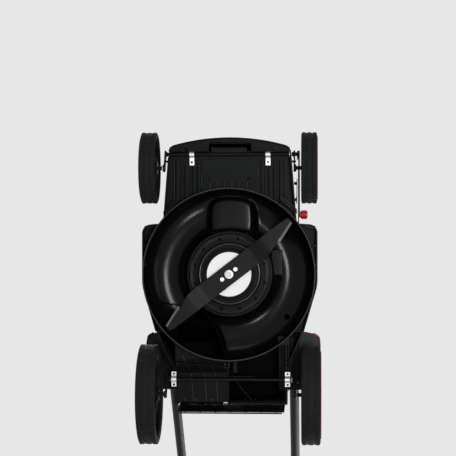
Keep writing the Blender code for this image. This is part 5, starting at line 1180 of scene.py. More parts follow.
# Sections of half a blade: reach, trailing edge, drop and lift of the sail.
BLADE_STATIONS = (
    (0.0, 24.5, 0.0, 0.0), (40.0, 24.5, 0.0, 0.0), (76.0, 24.5, 0.0, 0.0), (84.0, 24.5, 0.8, 0.0),
    (100.0, 24.0, 5.0, 0.0), (111.0, 22.5, 7.2, 0.0), (119.0, 20.0, 8.0, 0.0), (130.0, 15.5, 8.0, 0.1),
    (143.6, 9.6, 8.0, 0.2), (145.0, 10.5, 8.0, 1.6), (149.0, 15.2, 8.0, 2.5), (165.0, 9.3, 8.0, 2.7),
    (185.0, 1.9, 8.0, 2.7), (203.0, -4.8, 8.0, 2.5), (204.0, -5.6, 8.0, 2.3),
)


def blade_half():
    """One half of the blade, from its middle to a tip, open at the middle."""
    bm = bmesh.new()
    rows = []
    for reach, trail, drop, lift in BLADE_STATIONS:
        grind = smooth_stop(112.0, 122.0, reach)
        lead = 24.5 - 2.5 * smooth_stop(198.0, 204.0, reach)
        low = BLADE_LOW - drop
        fold = min(7.0 * smooth_stop(60.0, 90.0, reach), trail - 7.0)
        section = [
            (-lead, low + 0.3),
            (-lead + 0.3, low),
            (fold - 0.6, low),
            (fold + 0.6, low + 0.08 * lift),
            (trail - 0.3, low + lift),
            (trail, low + lift + 0.3),
            (trail, low + lift + 3.7),
            (trail - 0.3, low + lift + BLADE_THICK),
            (fold + 0.6, low + BLADE_THICK + 0.08 * lift),
            (fold - 0.6, low + BLADE_THICK),
            (-lead + 0.3 + 6.0 * grind, low + BLADE_THICK),
            (-lead, low + 3.7 - 2.9 * grind),
        ]
        rows.append([bm.verts.new((reach, across, z)) for across, z in section])
    count = len(rows[0])
    for near, far, station in zip(rows, rows[1:], BLADE_STATIONS[1:]):
        for index in range(count):
            after = (index + 1) % count
            face = bm.faces.new((near[index], near[after], far[after], far[index]))
            ground_edge = index in (10, 11) and station[0] > 112.0
            # The sail strip near each tip takes the light second finish as a painted highlight.
            sail_highlight = index == 3 and station[0] > 150.0
            face.material_index = 1 if ground_edge or sail_highlight else 0
    bm.faces.new(rows[-1])
    return moved(bm, turn=BLADE_TURN)


def pin_holes(low):
    """Cylinders that cut the holes for the two drive pins."""
    return [moved(drum(5.8, low, 90.0, 24), place) for place in PINS]


def blade_shape():
    """The blade as a closed shape, its ground edges and sail strips painted with the second finish, which on
    the sail strips is a painted highlight.
    """
    whole = tidy(together(blade_half(), moved(blade_half(), turn=math.pi)), 0.01)
    return cut(whole, drum(4.8, 50.0, 90.0, 24), *pin_holes(50.0))


def flange_bolt():
    """Hexagon bolt with a turned flange and a chamfered head."""
    flange = lathe([(0.0, 68.0), (11.0, 68.0), (11.0, 66.6), (10.2, 65.8), (8.6, 65.4), (0.0, 65.4)], 48)
    chamfer = lathe([(0.0, 59.0), (6.4, 59.0), (8.6, 61.6), (8.6, 67.0), (0.0, 67.0)], 36)
    head = combined(slab(hexagon(8.0), 60.0, 66.0), "INTERSECT", chamfer)
    dish = lathe([(0.0, 59.0), (4.6, 59.0), (4.2, 60.7), (0.0, 60.9)], 32)
    return together(softened(cut(head, dish), 0.25), paint(flange, 1), drum(4.5, 67.0, 100.0, 24))


def drive_pin(place):
    """Shouldered pin with a dished face."""
    profile = [(0.0, 66.5), (1.3, 66.5), (1.7, 66.9), (3.6, 66.9), (4.1, 66.2), (5.0, 66.1), (5.5, 66.6)]
    return moved(lathe(profile + [(5.5, 78.0), (0.0, 78.0)], 32), place)


def disc_shape():
    """White disc with a raised edge and holes for bolt and pins."""
    profile = [(4.9, 72.5), (52.6, 72.5), (53.4, 72.3), (55.0, 72.3)]
    profile += [(56.0, 73.1), (56.0, 77.2), (55.2, 78.0), (4.9, 78.0)]
    return cut(lathe(profile, 128), *pin_holes(60.0))


CRANK = 45.0
CRANK_ANGLE = math.radians(216.9)
LEVER = 158.0
LEVER_ANGLE = math.radians(166.0)
ARM = 48.0
ARM_ANGLE = math.radians(97.5)
LEVER_X = -177.6
ARM_X = (-173.0, -171.0)
LINK_X = (-175.3, -173.3)
FRONT_CLIP_X = 97.0
REAR_CLIP_X = 146.0


def on_pivot(pivot, reach, angle):
    """A (y, z) place at a reach and an angle from a pivot."""
    return (pivot[0] + reach * math.cos(angle), pivot[1] + reach * math.sin(angle))


def crank_bar(pivot, reach, angle, width, low, high):
    """A flat bar with round ends, from a pivot at an angle, between two places along X."""
    end = on_pivot(pivot, reach, angle)
    outline = arc(end, width / 2, angle - math.pi / 2, angle + math.pi / 2, 14)
    outline += arc(pivot, width / 2, angle + math.pi / 2, angle + 3 * math.pi / 2, 14)
    return softened(slab(outline, low, high, "X"), 0.5)


def axle_shape(pivot, left, stub_end):
    """Cross rod with its crank plates, wheel stubs, collars and welds."""
    parts = [bar_round((left, *pivot), (166.0, *pivot), ROD_R, 32)]
    hub = on_pivot(pivot, CRANK, CRANK_ANGLE)
    collar = [(ROD_R, 0.0), (9.0, 0.0), (9.4, 0.6), (9.4, 2.4), (8.6, 3.0), (ROD_R, 3.0)]
    weld = [(ROD_R, 0.0), (7.6, 0.0), (6.6, 1.2), (5.4, 2.6), (ROD_R, 3.0)]
    for side in (1, -1):
        low, high = sorted((side * 162.0, side * 166.0))
        parts += [
            crank_bar(pivot, CRANK, CRANK_ANGLE, 20.0, low, high),
            bar_round((side * 162.5, *hub), (side * stub_end, *hub), ROD_R, 28),
            lathe_between((side * 166.0, *hub), (side * 170.0, *hub), collar, 32),
            lathe_between((side * 162.0, *pivot), (side * 150.0, *pivot), weld, 28),
        ]
    return together(*parts)


def rear_axle_shape():
    """The rear axle with the arm that the link turns."""
    place = on_pivot(REAR_PIVOT, ARM, ARM_ANGLE)
    arm = crank_bar(REAR_PIVOT, ARM, ARM_ANGLE, 15.0, *ARM_X)
    punch = bore((-180.0, *place), (-160.0, *place), 3.6, 24)
    return together(axle_shape(REAR_PIVOT, -173.0, 230.5), cut(arm, punch))


def bent_strap(path, x, half, holes):
    """A bent steel strap of 1.5 mm with punched holes and slightly rounded edges."""
    strap = slab(band(path, -1.5), x - half, x + half, "X")
    punches = [moved(drum(2.2, -20.0, 20.0, 20), (x, y, z)) for y, z in holes]
    return softened(cut(strap, *punches), 0.3)


def front_clip_shape(side):
    x = side * FRONT_CLIP_X
    y, z = FRONT_PIVOT
    path = [(y - 28.0, 122.7), (y - 8.6, 122.7), (y - 6.4, 121.0)]
    path += arc((y, z), 5.5, math.pi, 2 * math.pi, 14) + [(y + 5.5, z + 5.0)]
    crimp = fin(x, 1.0, (y - 26.0, 120.7), (y - 23.6, 121.6), 0.35)
    return together(bent_strap(path, x, 6.0, [(y - 20.0, z)]), crimp)


def rear_clip_shape(side):
    y, z = REAR_PIVOT
    path = [(y - 19.0, 160.02), (y - 8.4, 160.02), (y - 6.0, 158.4)]
    path += arc((y, z), 5.5, math.pi, 2 * math.pi, 14)
    path += [(y + 6.0, 158.4), (y + 8.4, 160.02), (y + 19.0, 160.02)]
    return bent_strap(path, side * REAR_CLIP_X, 6.5, [(y - 14.0, z), (y + 14.0, z)])


def clip_screws(side):
    """The screws that hold one side's two clips."""
    down = (0, 0, -1)
    screws = [screw((side * FRONT_CLIP_X, FRONT_PIVOT[0] - 20.0, 121.2), down, 2.9, 1.6)]
    for offset in (-14.0, 14.0):
        screws.append(screw((side * REAR_CLIP_X, REAR_PIVOT[0] + offset, 158.5), down, 2.9, 1.6))
    return together(*screws)


def lever_shape():
    """Bell crank: long flat arm, hub and short arm, with a pressed rib along the long arm."""
    hole = on_pivot(FRONT_PIVOT, ARM, ARM_ANGLE)
    rib = [(-175.9, *on_pivot(FRONT_PIVOT, reach, LEVER_ANGLE)) for reach in (26.0, 98.0)]
    washer = [(3.3, 0.0), (6.4, 0.0), (6.4, 0.7), (6.0, 0.95), (3.3, 0.95)]
    return together(
        crank_bar(FRONT_PIVOT, LEVER, LEVER_ANGLE, 14.0, LEVER_X, -175.6),
        bar_round((LEVER_X, *FRONT_PIVOT), (-171.0, *FRONT_PIVOT), 9.0, 32),
        crank_bar(FRONT_PIVOT, ARM, ARM_ANGLE, 15.0, *ARM_X),
        tube(rib, 1.3, 4),
        lathe_between((-170.9, *hole), (-169.5, *hole), washer, 28),
    )


def knob_shape():
    """Ribbed round knob on the lever's end."""
    centre = on_pivot(FRONT_PIVOT, LEVER, LEVER_ANGLE)
    profile = [(0.0, 0.0), (8.0, 0.0), (8.0, 1.6), (9.4, 2.6), (10.5, 4.0), (10.6, 16.0)]
    profile += [(10.0, 17.8), (8.6, 19.0), (6.0, 19.5), (5.2, 19.0), (0.0, 19.0)]
    parts = [lathe_between((-177.9, *centre), (-200.0, *centre), profile, 64)]
    for number in range(24):
        place = on_pivot(centre, 10.5, 2 * math.pi * number / 24)
        parts.append(bar_round((-182.4, *place), (-193.4, *place), 0.75, 8, 0.3))
    return together(*parts)


def link_shape():
    """Flat link with its two headed pins and a pressed rib."""
    start = on_pivot(FRONT_PIVOT, ARM, ARM_ANGLE)
    end = on_pivot(REAR_PIVOT, ARM, ARM_ANGLE)
    run = math.hypot(end[0] - start[0], end[1] - start[1])
    angle = math.atan2(end[1] - start[1], end[0] - start[0])
    parts = [crank_bar(start, run, angle, 8.0, *LINK_X)]
    for place in (start, end):
        parts.append(bar_round((-174.8, *place), (-170.0, *place), 3.0, 20, 0.3))
        parts.append(bar_round((-175.9, *place), (-175.2, *place), 3.8, 24, 0.3))
    rib = []
    for share in (0.05, 0.95):
        rib.append((-173.4, start[0] + share * (end[0] - start[0]), start[1] + share * (end[1] - start[1])))
    return together(*parts, tube(rib, 0.9, 3))


def lock_ring(x, place, outer):
    """Bright E-shaped lock ring on a shaft."""
    outline = arc(place, outer, math.radians(40), math.radians(320), 24)
    inner = arc(place, ROD_R + 0.1, math.radians(-48), math.radians(-312), 24)
    return softened(slab(outline + inner, x - 0.6, x + 0.6, "X"), 0.2)


def lock_rings():
    """Lock rings and a hooked spring end that glint beside the rods."""
    hub = on_pivot(FRONT_PIVOT, CRANK, CRANK_ANGLE)
    rear = on_pivot(REAR_PIVOT, CRANK, CRANK_ANGLE)
    parts = [
        lock_ring(-151.5, FRONT_PIVOT, 8.6),
        lock_ring(-156.0, FRONT_PIVOT, 7.6),
        lock_ring(168.6, hub, 10.2),
        lock_ring(-157.0, REAR_PIVOT, 8.0),
        lock_ring(-168.4, rear, 9.4),
    ]
    y, z = FRONT_PIVOT
    hook = [(-104.0, y + 15.5, z - 11.6), (-108.0, y + 17.5, z - 12.6)]
    hook += [(-114.5, y + 17.0, z - 12.4), (-116.0, y + 14.0, z - 11.0)]
    return together(*parts, tube([Vector(point) for point in hook], 0.75, 3, True))


# Each pair of wheels: place along the mower, radius and width.
WHEELS = {"front": (268.0, 90.0, 41.0), "rear": (-308.0, 127.0, 50.0)}
WHEEL_X = 181.0
BEAD_SHARE = 0.84


def tyre_shape(radius, width, blocks):
    """Tyre with two grooves, shoulder lugs and short chevrons."""
    bead_r = BEAD_SHARE * radius
    tread = radius - 0.9
    wall = [(bead_r + 1.5, 0.07), (0.90 * radius, 0.02), (0.94 * radius, 0.012), (0.965 * radius, 0.03)]
    points = [(bead_r, 0.13), *wall, (0.982 * radius, 0.07), (tread - 0.5, 0.13)]
    for share in (0.30, 0.66):
        groove = tread - 1.2
        points += [(tread, share - 0.02), (groove, share), (groove, share + 0.04), (tread, share + 0.06)]
    points += [(tread - 0.5, 0.87), (0.982 * radius, 0.93), (0.965 * radius, 0.97), (0.94 * radius, 0.988)]
    points += [(0.90 * radius, 0.98), (bead_r + 1.5, 0.93), (bead_r, 0.87)]
    lower = [(-2.6, 0.06), (2.6, 0.06), (4.6, 0.26), (-0.6, 0.26)]
    upper = [(-2.6, 0.76), (2.6, 0.76), (0.6, 0.94), (-4.6, 0.94)]
    chevron = [(-4.0, 0.40), (0.5, 0.50), (-4.0, 0.60), (-1.2, 0.60), (3.4, 0.50), (-1.2, 0.40)]
    half = blocks // 2
    marks = []
    for number in range(blocks):
        marks += [(2 * math.pi * number / blocks, outline, 0.15) for outline in (lower, upper)]
    marks += [(2 * math.pi * (number + 0.25) / half, chevron, 0.1) for number in range(half)]
    parts = [lathe([(place, share * width) for place, share in points], 144)]
    for angle, outline, sink in marks:
        lug = slab([(place, share * width) for place, share in outline], radius - 2.6, radius - sink)
        parts.append(moved(moved(lug, turn=math.pi / 2, axis="X"), turn=angle))
    return together(*parts)


def rim_shape(radius, width):
    """Dished rim with a hub, ten spokes, a stepped edge and a cap on the outer side."""
    outer = BEAD_SHARE * radius - 0.3
    edge = [(outer - 5.0, 0.36), (outer - 3.4, 0.34), (outer - 1.0, 0.14), (outer, 0.14), (outer, 0.86)]
    edge += [(outer - 1.0, 0.86), (outer - 4.0, 0.70), (outer - 5.2, 0.52), (outer - 8.0, 0.49)]
    hub = [(20.0, 0.59), (16.6, 0.62), (16.0, 0.64), (16.0, 0.90), (15.2, 0.92), (5.3, 0.92)]
    shares = [(place, share * width) for place, share in [(16.0, 0.48), *edge, *hub]]
    parts = [lathe([(5.3, 1.0), (15.2, 1.0), (16.0, 1.8), *shares], 96)]
    tall = [(15.0, 0.50), (outer - 4.4, 0.44), (outer - 4.4, 0.60), (15.0, 0.84)]
    back = [(15.0, 0.10), (outer - 4.0, 0.30), (outer - 4.0, 0.40), (15.0, 0.50)]
    for number in range(10):
        for corners, half, soft in ((tall, 2.0, 0.8), (back, 1.3, 0.5)):
            spoke = slab([(place, share * width) for place, share in corners], -half, half, "Y")
            parts.append(moved(softened(spoke, soft), turn=2 * math.pi * number / 10))
    cap = [(0.0, 0.90), (14.2, 0.90), (14.2, 0.925), (13.0, 0.95), (8.0, 0.97), (7.2, 0.955), (0.0, 0.955)]
    parts.append(lathe([(place, share * width) for place, share in cap], 48))
    return together(*parts)


def trim_shape(radius, width):
    """Red ring between rim and tyre, with a fine groove."""
    outer = BEAD_SHARE * radius - 0.3
    low = 0.86 * width + 0.3
    profile = [(-12.0, low), (-0.3, low), (-0.3, 0.90 * width), (4.2, width + 0.3), (4.8, width + 0.9)]
    profile += [(4.0, width + 1.0), (-2.0, width + 0.6), (-2.6, width - 0.1), (-3.6, width - 0.1)]
    profile += [(-4.2, width + 0.5), (-11.2, width), (-12.0, width - 0.8)]
    return lathe([(outer + place, height) for place, height in profile], 120)


ROOF_LINE = (
    (346.0, 178.0), (330.0, 200.0), (300.0, 220.0), (240.0, 240.0), (150.0, 260.0),
    (-62.0, 292.0), (-160.0, 300.0), (-300.0, 300.0), (-340.0, 290.0),
)
ROOF_EDGE = 18.0


def roof_z(y):
    """Height of the hood's top along the mower."""
    for (y_front, z_front), (y_back, z_back) in zip(ROOF_LINE, ROOF_LINE[1:]):
        if y >= y_back:
            share = min(1.0, max(0.0, (y_front - y) / (y_front - y_back)))
            return z_front + (z_back - z_front) * share
    return ROOF_LINE[-1][1]


def hood_openings():
    """What is cut from the hood: rear bay, flap's room, battery opening, lever slot and vents."""
    cuts = [
        box((-260.0, -380.0, 90.0), (260.0, -140.0, 200.3)),
        box((-141.0, -380.0, 100.0), (141.0, -332.0, 258.3)),
        soft_box((-58.0, -42.0, 216.0), (58.0, 126.0, 340.0), 5.0),
        box((-180.5, 118.0, 150.0), (-170.5, 134.0, 192.0)),
    ]
    for side in (1, -1):
        for number in range(7):
            y = 96.0 - 13.0 * number
            slot = to_side(side, [(96.0, y), (176.0, y - 14.0), (176.0, y - 9.6), (96.0, y + 4.4)])
            cuts.append(slab(rounded([(*corner, 1.6) for corner in slot], 4, True), 200.0, 340.0))
    return cuts


def hood_shell():
    """Upper cover: flanks on the deck's plan, a rounded edge and a sloping roof with openings."""
    tail = [(WAIST_HALF, WAIST_Y, 25.0), (TAIL_HALF, TAIL_START_Y, 60.0), (TAIL_HALF, TAIL_Y, 0.0)]
    plan = mirrored(resampled(half_plan(tail), 9.0))
    rows = [[(x, y, level) for x, y in plan] for level in (126.3, 128.0)]
    for across, up in quarter(8):
        edge = offset_line(plan, -ROOF_EDGE * (1 - across), True)
        rows.append([(x, y, roof_z(y) - ROOF_EDGE * (1 - up)) for x, y in edge])
    bm = bmesh.new()
    made = [[bm.verts.new(point) for point in row] for row in rows]
    count = len(plan)
    for lower, upper in zip(made, made[1:]):
        for index in range(count):
            after = (index + 1) % count
            bm.faces.new((lower[index], lower[after], upper[after], upper[index]))
    top = made[-1]
    right = top[1:count // 2 + 1]
    left = top[:count // 2:-1]
    bm.faces.new((top[0], right[0], left[0]))
    for here, after, other_after, other in zip(right, right[1:], left[1:], left):
        bm.faces.new((here, after, other_after, other))
    tidy(bm)
    if sum(face.normal.z for face in bm.faces) < 0:
        bmesh.ops.reverse_faces(bm, faces=bm.faces)
    bmesh.ops.solidify(bm, geom=bm.faces[:], thickness=2.5)
    # Faces that look down, on the hood's underside, get the near-black second finish as painted shade.
    return paint(cut(tidy(bm), *hood_openings()), 1, lambda face: face.normal.z < -0.2)


def roof_line(points, sink=0.0):
    """Points laid on the hood's roof, close enough to follow its bends."""
    return [(x, y, roof_z(y) - sink) for x, y in resampled(points, 12.0)]


def hood_panels():
    """Vent frames, seams, nose grille, side lines and screws on the hood."""
    corners = [(90.0, 108.0), (184.0, 92.0), (184.0, -6.0), (90.0, 9.0)]
    seam = [(78.0, 326.0), (86.0, 240.0), (84.0, 128.0), (84.0, -60.0), (100.0, -200.0), (100.0, -322.0)]
    flank = [(x, y) for x, y in resampled(body_plan(WAIST_HALF), 12.0) if x >= 0.0 and y > -120.0]
    parts = []
    for side in (1, -1):
        frame_line = rounded([(*corner, 6.0) for corner in to_side(side, corners)], 5, True)
        parts.append(tube(roof_line(frame_line + frame_line[:1]), 1.5, 3))
        parts.append(tube(roof_line(to_side(side, seam), 0.3), 1.1, 3))
        for x, y in ((196.0, 60.0), (196.0, -60.0), (120.0, 200.0)):
            parts.append(screw((side * x, y, roof_z(y) + 0.4), (0.0, 0.12, 1.0), 4.5, 1.2))
        for height in (140.0, 148.0):
            parts.append(tube([(x, y, height) for x, y in to_side(side, flank)], 0.8, 2))
    for number in range(6):
        x = -50.0 + 20.0 * number
        front = NOSE_Y - x * x / 1040.0
        bar = [(x, front - 0.5, 158.0), (x, front - 2.5, 172.0), (x, front - 15.0, 196.0)]
        parts.append(tube(bar, 2.0, 3))
    return together(*parts)


HANDLE_PIVOT = Vector((0.0, -290.0, 325.0))
STRIP_LINE = [(211.0, -162.6, 0.0), (224.4, -170.0, 7.0), (227.8, -190.0, 8.0), (227.8, -312.0, 0.0)]


def shoulder_shape(side):
    """Shoulder plate with its ear for the handle bolt, and a stiffening rib."""
    plan = [(120.0, -150.0, 0.0), (190.0, -158.0, 14.0), (211.0, -162.6, 2.0), (225.0, -170.0, 7.0)]
    plan += [(228.6, -190.0, 8.0), (228.6, -312.0, 0.0), (120.0, -312.0, 0.0)]
    plate = softened(slab(to_side(side, rounded(plan, 5)), 293.0, 299.8), 1.4, 3)
    corners = [(-270.0, 296.0, 0.0), (-275.0, 340.0, 14.0), (-305.0, 340.0, 14.0), (-310.0, 296.0, 0.0)]
    ear = slab(rounded(corners, 8), *sorted((side * 173.8, side * 179.8)), "X")
    bolt = HANDLE_PIVOT.yz
    ear = softened(cut(ear, bore((side * 165.0, *bolt), (side * 190.0, *bolt), 4.3, 28)), 0.9)
    front = STRIP_LINE[:2] if side > 0 else [(225.8, -172.0, 0.0)]
    lip_line = rounded([*front, *STRIP_LINE[2:]], 6)
    lip = slab(band(to_side(side, lip_line), 3.4 * side), 289.0, 290.0)
    low, high = sorted((side * 180.0, side * 204.0))
    rib = block((low, -291.5, 299.0), (high, -288.5, 304.0), 0.6)
    return together(plate, ear, rib, lip)


def trim_line(side):
    """Red edge strip round the shoulder."""
    outline = band(to_side(side, rounded(STRIP_LINE, 6)), 3.2 * side)
    return softened(slab(outline, 290.2, 301.8), 1.0, 3)


def lid_shape():
    """Battery lid with two raised lines and a finger grip."""
    parts = [softened(copy_of("battery_lid"), 1.2, 3, 0.7)]
    for x in (-54.0, 54.0):
        parts.append(tube([(x, y, lid_z(y) + 0.2) for y in range(-44, 126, 10)], 1.4, 3))
    for y in (-44.0, -38.0, -32.0, -26.0):
        parts.append(tube([(-18.0, y, lid_z(y) + 0.3), (18.0, y, lid_z(y) + 0.3)], 1.1, 3))
    return together(*parts)


def lid_z(y):
    """Height of the lid's upper face."""
    return roof_z(y) + 5.2


def pack_shape():
    """Battery with grooved sides and a grip."""
    parts = [softened(copy_of("battery_pack"), 1.0, 2, 0.5)]
    for x in (-40.0, 40.0):
        for number in range(8):
            y = 35.0 + 10.0 * number
            parts.append(fin(x, 0.5, (y - 1.6, 200.0), (y + 1.6, 232.0), 0.45))
    return together(*parts, block((-12.0, 46.0, 247.0), (12.0, 56.0, 250.4), 0.8))


SLOPE = math.radians(48.0)
UP = Vector((0.0, -math.cos(SLOPE), math.sin(SLOPE)))
FRONT = Vector((0.0, math.sin(SLOPE), math.cos(SLOPE)))
LOWER_X = 161.0
UPPER_X = 135.4
TUBE_R = 12.5
CLAMP_AT = 480.0
TOP_AT = 910.0
BEND_R = 45.0
BUTTON_AT = (762.0, -108.0)
BAIL_AT = 790.0


def along(distance, x=0.0, rise=0.0):
    """A point at a distance up the handle from its lower pivot."""
    return HANDLE_PIVOT + UP * distance + FRONT * rise + Vector((x, 0.0, 0.0))


def end_cap(distance, x, direction):
    """Plastic plug in a tube's end."""
    profile = [(0.0, -0.6), (12.2, -0.6), (TUBE_R, -0.2), (TUBE_R, 0.6), (11.6, 1.6), (9.0, 2.2), (0.0, 2.4)]
    return lathe_between(along(distance, x), along(distance + direction, x), profile, 40)


def lower_tube_shape(side):
    x = side * LOWER_X
    bm = tube([along(-15.4, x), along(495.4, x)], TUBE_R, 12)
    holes = []
    for distance, radius in ((0.0, 4.3), (CLAMP_AT, 3.8)):
        holes.append(bore(along(distance, x - 30.0), along(distance, x + 30.0), radius, 20))
    return together(cut(bm, *holes), end_cap(-16.0, x, -1.0), end_cap(496.0, x, 1.0))


def upper_tube_shape():
    """U-shaped tube with round corners."""
    corner = arc((UPPER_X - BEND_R, TOP_AT - BEND_R), BEND_R, 0.0, math.pi / 2, 14)
    path = [along(464.6, UPPER_X)] + [along(distance, x) for x, distance in corner]
    path += [along(distance, -x) for x, distance in reversed(corner)] + [along(464.6, -UPPER_X)]
    bm = tube(path, TUBE_R, 12)
    bm = cut(bm, bore(along(CLAMP_AT, -161.0), along(CLAMP_AT, 161.0), 3.8, 20))
    return together(bm, end_cap(464.0, UPPER_X, -1.0), end_cap(464.0, -UPPER_X, -1.0))


def grip_shape():
    """Foam sleeve with rounded ends and shallow rings."""
    profile = [(12.8, 0.0), (14.6, 0.0), (15.6, 0.5), (16.0, 1.6)]
    for number in range(24):
        at = 4.0 + 6.0 * number
        profile += [(16.0, at), (15.5, at + 0.8), (15.5, at + 1.6), (16.0, at + 2.4)]
    profile += [(16.0, 148.4), (15.6, 149.5), (14.6, 150.0), (12.8, 150.0)]
    return lathe_between(along(TOP_AT, -75.0), along(TOP_AT, 75.0), profile, 56)


def star_knob_shape(side):
    """Five-lobed clamp knob with a dished cap and its stud."""
    outline = []
    for step in range(100):
        angle = 2 * math.pi * step / 100
        radius = 16.0 + 2.0 * math.cos(5 * angle)
        outline.append((radius * math.cos(angle), radius * math.sin(angle)))
    body = softened(slab(outline, 173.8, 189.8), 1.8, 3)
    dish = lathe([(0.0, 187.6), (8.0, 188.4), (9.0, 200.0), (0.0, 200.0)], 40)
    stud = lathe([(0.0, 119.4), (2.9, 119.4), (3.5, 120.0), (3.5, 178.0), (0.0, 178.0)], 28)
    return outwards(together(cut(body, dish), stud), side, along(CLAMP_AT))


def handle_bolt_shape(side):
    """Bolt through the ear, with a domed hexagon-socket head and a washer."""
    profile = [(0.0, 145.5), (3.6, 145.5), (4.0, 145.9), (4.0, 180.1), (9.0, 180.1), (9.0, 181.3)]
    profile += [(8.4, 181.6), (8.2, 184.2), (6.6, 185.9), (4.0, 186.1), (0.0, 186.1)]
    socket = slab(hexagon(3.2), 183.0, 190.0)
    return outwards(cut(lathe(profile, 40), socket), side, HANDLE_PIVOT)


def switch_box_shape():
    """Switch housing with a seam, screws, ridges and a guard ring round the button."""
    ring_profile = [(8.6, 0.0), (10.8, 0.0), (10.4, 1.0), (9.4, 1.3), (8.6, 1.0)]
    parts = [
        softened(copy_of("switch_box"), 1.4, 3, 0.4),
        lathe_between(along(*BUTTON_AT, 25.9), along(*BUTTON_AT, 40.0), ring_profile, 40),
        tube([along(747.0, -95.0, 3.0), along(820.0, -95.0, 3.0)], 0.7, 2),
    ]
    for distance in (752.0, 814.0):
        for rise in (-10.0, 16.0):
            parts.append(screw(along(distance, -94.6, rise), (1.0, 0.0, 0.0), 3.2, 1.0))
    for number in range(5):
        place = 790.0 + 6.0 * number
        parts.append(tube([along(place, -104.0, 26.1), along(place, -130.0, 26.1)], 0.8, 2))
    return together(*parts)


def button_shape():
    """Start button with a rounded edge and a shallow dish."""
    profile = [(0.0, 0.0), (7.6, 0.0), (8.0, 0.4), (8.0, 10.6)]
    profile += [(7.4, 11.6), (5.0, 12.0), (4.0, 11.5), (0.0, 11.2)]
    return lathe_between(along(*BUTTON_AT, 19.0), along(*BUTTON_AT, 31.0), profile, 48)


def bail_shape():
    """Round wire lever in front of the grip."""
    leg = 87.0
    up = 117.0 * math.cos(math.radians(36.0))
    rise = 117.0 * math.sin(math.radians(36.0))
    points = [(0.0, 102.5), (0.0, leg + 7.0), (0.015, leg + 2.6), (0.05, leg + 0.6), (0.10, leg)]
    points += [(0.82, leg), (0.90, leg - 1.2), (0.956, leg - 6.5), (0.995, leg - 17.0)]
    half = [along(BAIL_AT + up * share, x, rise * share) for share, x in points]
    return tube(half + [Vector((-point.x, point.y, point.z)) for point in reversed(half)], 3.0, 6)


def flap_shape():
    """Rear flap with raised ribs and a lower bead."""
    parts = [softened(copy_of("rear_flap"), 0.8, 2, 0.6)]
    for number in range(7):
        x = -117.0 + 39.0 * number
        parts.append(tube([(x, -354.2, 232.0), (x, -357.4, 160.0)], 1.5, 3))
    return together(*parts, tube([(-132.0, -357.9, 148.0), (132.0, -357.9, 148.0)], 1.7, 3))


FLAP_PIVOT = (-347.0, 270.0)


def flap_spring_shape():
    """Seven turns of wire round the hinge pin."""
    path = []
    for index in range(7 * 24 + 1):
        angle = math.radians(250.0) + 2 * math.pi * index / 24
        path.append((-10.5 + 3.0 * index / 24, *on_pivot(FLAP_PIVOT, 3.55, angle)))
    return tube(path, 0.9, 4)


class MowerStep:
    """What the piece operators share."""

    bl_options = {"REGISTER", "UNDO"}

    @classmethod
    def poll(cls, context):
        return context.scene is not None


class MOWER_OT_deck(MowerStep, bpy.types.Operator):
    """Build the cutting chamber, the front tray and the rear frame"""

    bl_idname = "mower.deck"
    bl_label = "Deck"

    def execute(self, context):
        sizes = context.scene.mower_sizes
        make_piece("chamber_bowl", chamber_bowl(2 * sizes.round_steps), "chamber", "mower", "deck_shell", 0.7)
        boss = block((-134.0, -3.0, 127.0), (-104.5, 61.0, 147.0), 2.6, 4)
        # The boss's sloping bevel faces take the lighter bead finish as a painted highlight.
        make_piece("chamber_boss", paint(boss, 1, lambda face: 0.2 < -face.normal.z < 0.97), "chamber bead")
        # The mouth wall takes the near-black inside finish as painted shade.
        make_piece("mouth_wall", mouth_wall(), "inside")
        make_piece("front_tray", front_tray(sizes.edge_soft), "moulded")
        make_piece("nose_band", nose_band(), "moulded")
        make_piece("ribbed_field", ribbed_field(), "cover seam")
        make_piece("corner_brackets", corner_brackets(), "chamber")
        make_piece("rear_frame", rear_frame(sizes.edge_soft), "moulded inside")
        make_piece("rear_details", rear_details(), "moulded seam")
        make_piece("tunnel_plate", tunnel_plate(), "tunnel", node="tunnel_floor")
        # The floor ribs take the lighter seam finish as a painted highlight.
        make_piece("tunnel_ribs", tunnel_ribs(), "seam")
        make_piece("nose_plate", nose_plate(), "cover inside", node="front_plate")
        return {"FINISHED"}


class MOWER_OT_motor(MowerStep, bpy.types.Operator):
    """Build the motor and its controller"""

    bl_idname = "mower.motor"
    bl_label = "Motor"

    def execute(self, context):
        steps = context.scene.mower_sizes.round_steps
        # bead is a painted highlight on a ring, inside is painted shade in the holes.
        make_piece("motor_face", motor_face(steps), "plate bead inside shine", "mower", "motor_flange", 1.2)
        make_piece("motor_webs", motor_ribs(), "plate")
        for node, look, body, soft in (
            ("motor_can", "aluminium", "mower", 0.4),
            ("stator", "copper", "mower", 0.4),
            ("bearing_lower", "zinc", "mower", 0.4),
            ("bearing_upper", "zinc", "mower", 0.4),
            ("controller", "aluminium", "mower", 0.4),
            ("rotor_core", "aluminium", "rotor", 0.4),
            ("motor_shaft", "zinc", "rotor", 0.3),
        ):
            make_piece("fine_" + node, softened(copy_of(node), soft, 2, 0.7), look, body, node, 0.9)
        return {"FINISHED"}


class MOWER_OT_blade(MowerStep, bpy.types.Operator):
    """Build the blade with its disc, bolt and pins"""

    bl_idname = "mower.blade"
    bl_label = "Blade"

    def execute(self, context):
        # The second finish is ground steel on the edges and a painted highlight on the sail strips.
        make_piece("blade_bar", blade_shape(), "blade ground", "rotor", "blade", 0.35)
        make_piece("white_disc", disc_shape(), "white", "rotor", "blade_disc")
        make_piece("flange_bolt", flange_bolt(), "bolt zinc", "rotor", "blade_bolt")
        for place, word in zip(PINS, ("front", "rear")):
            make_piece("pin_" + word, drive_pin(place), "zinc", "rotor", "drive_pin_" + word)
        return {"FINISHED"}


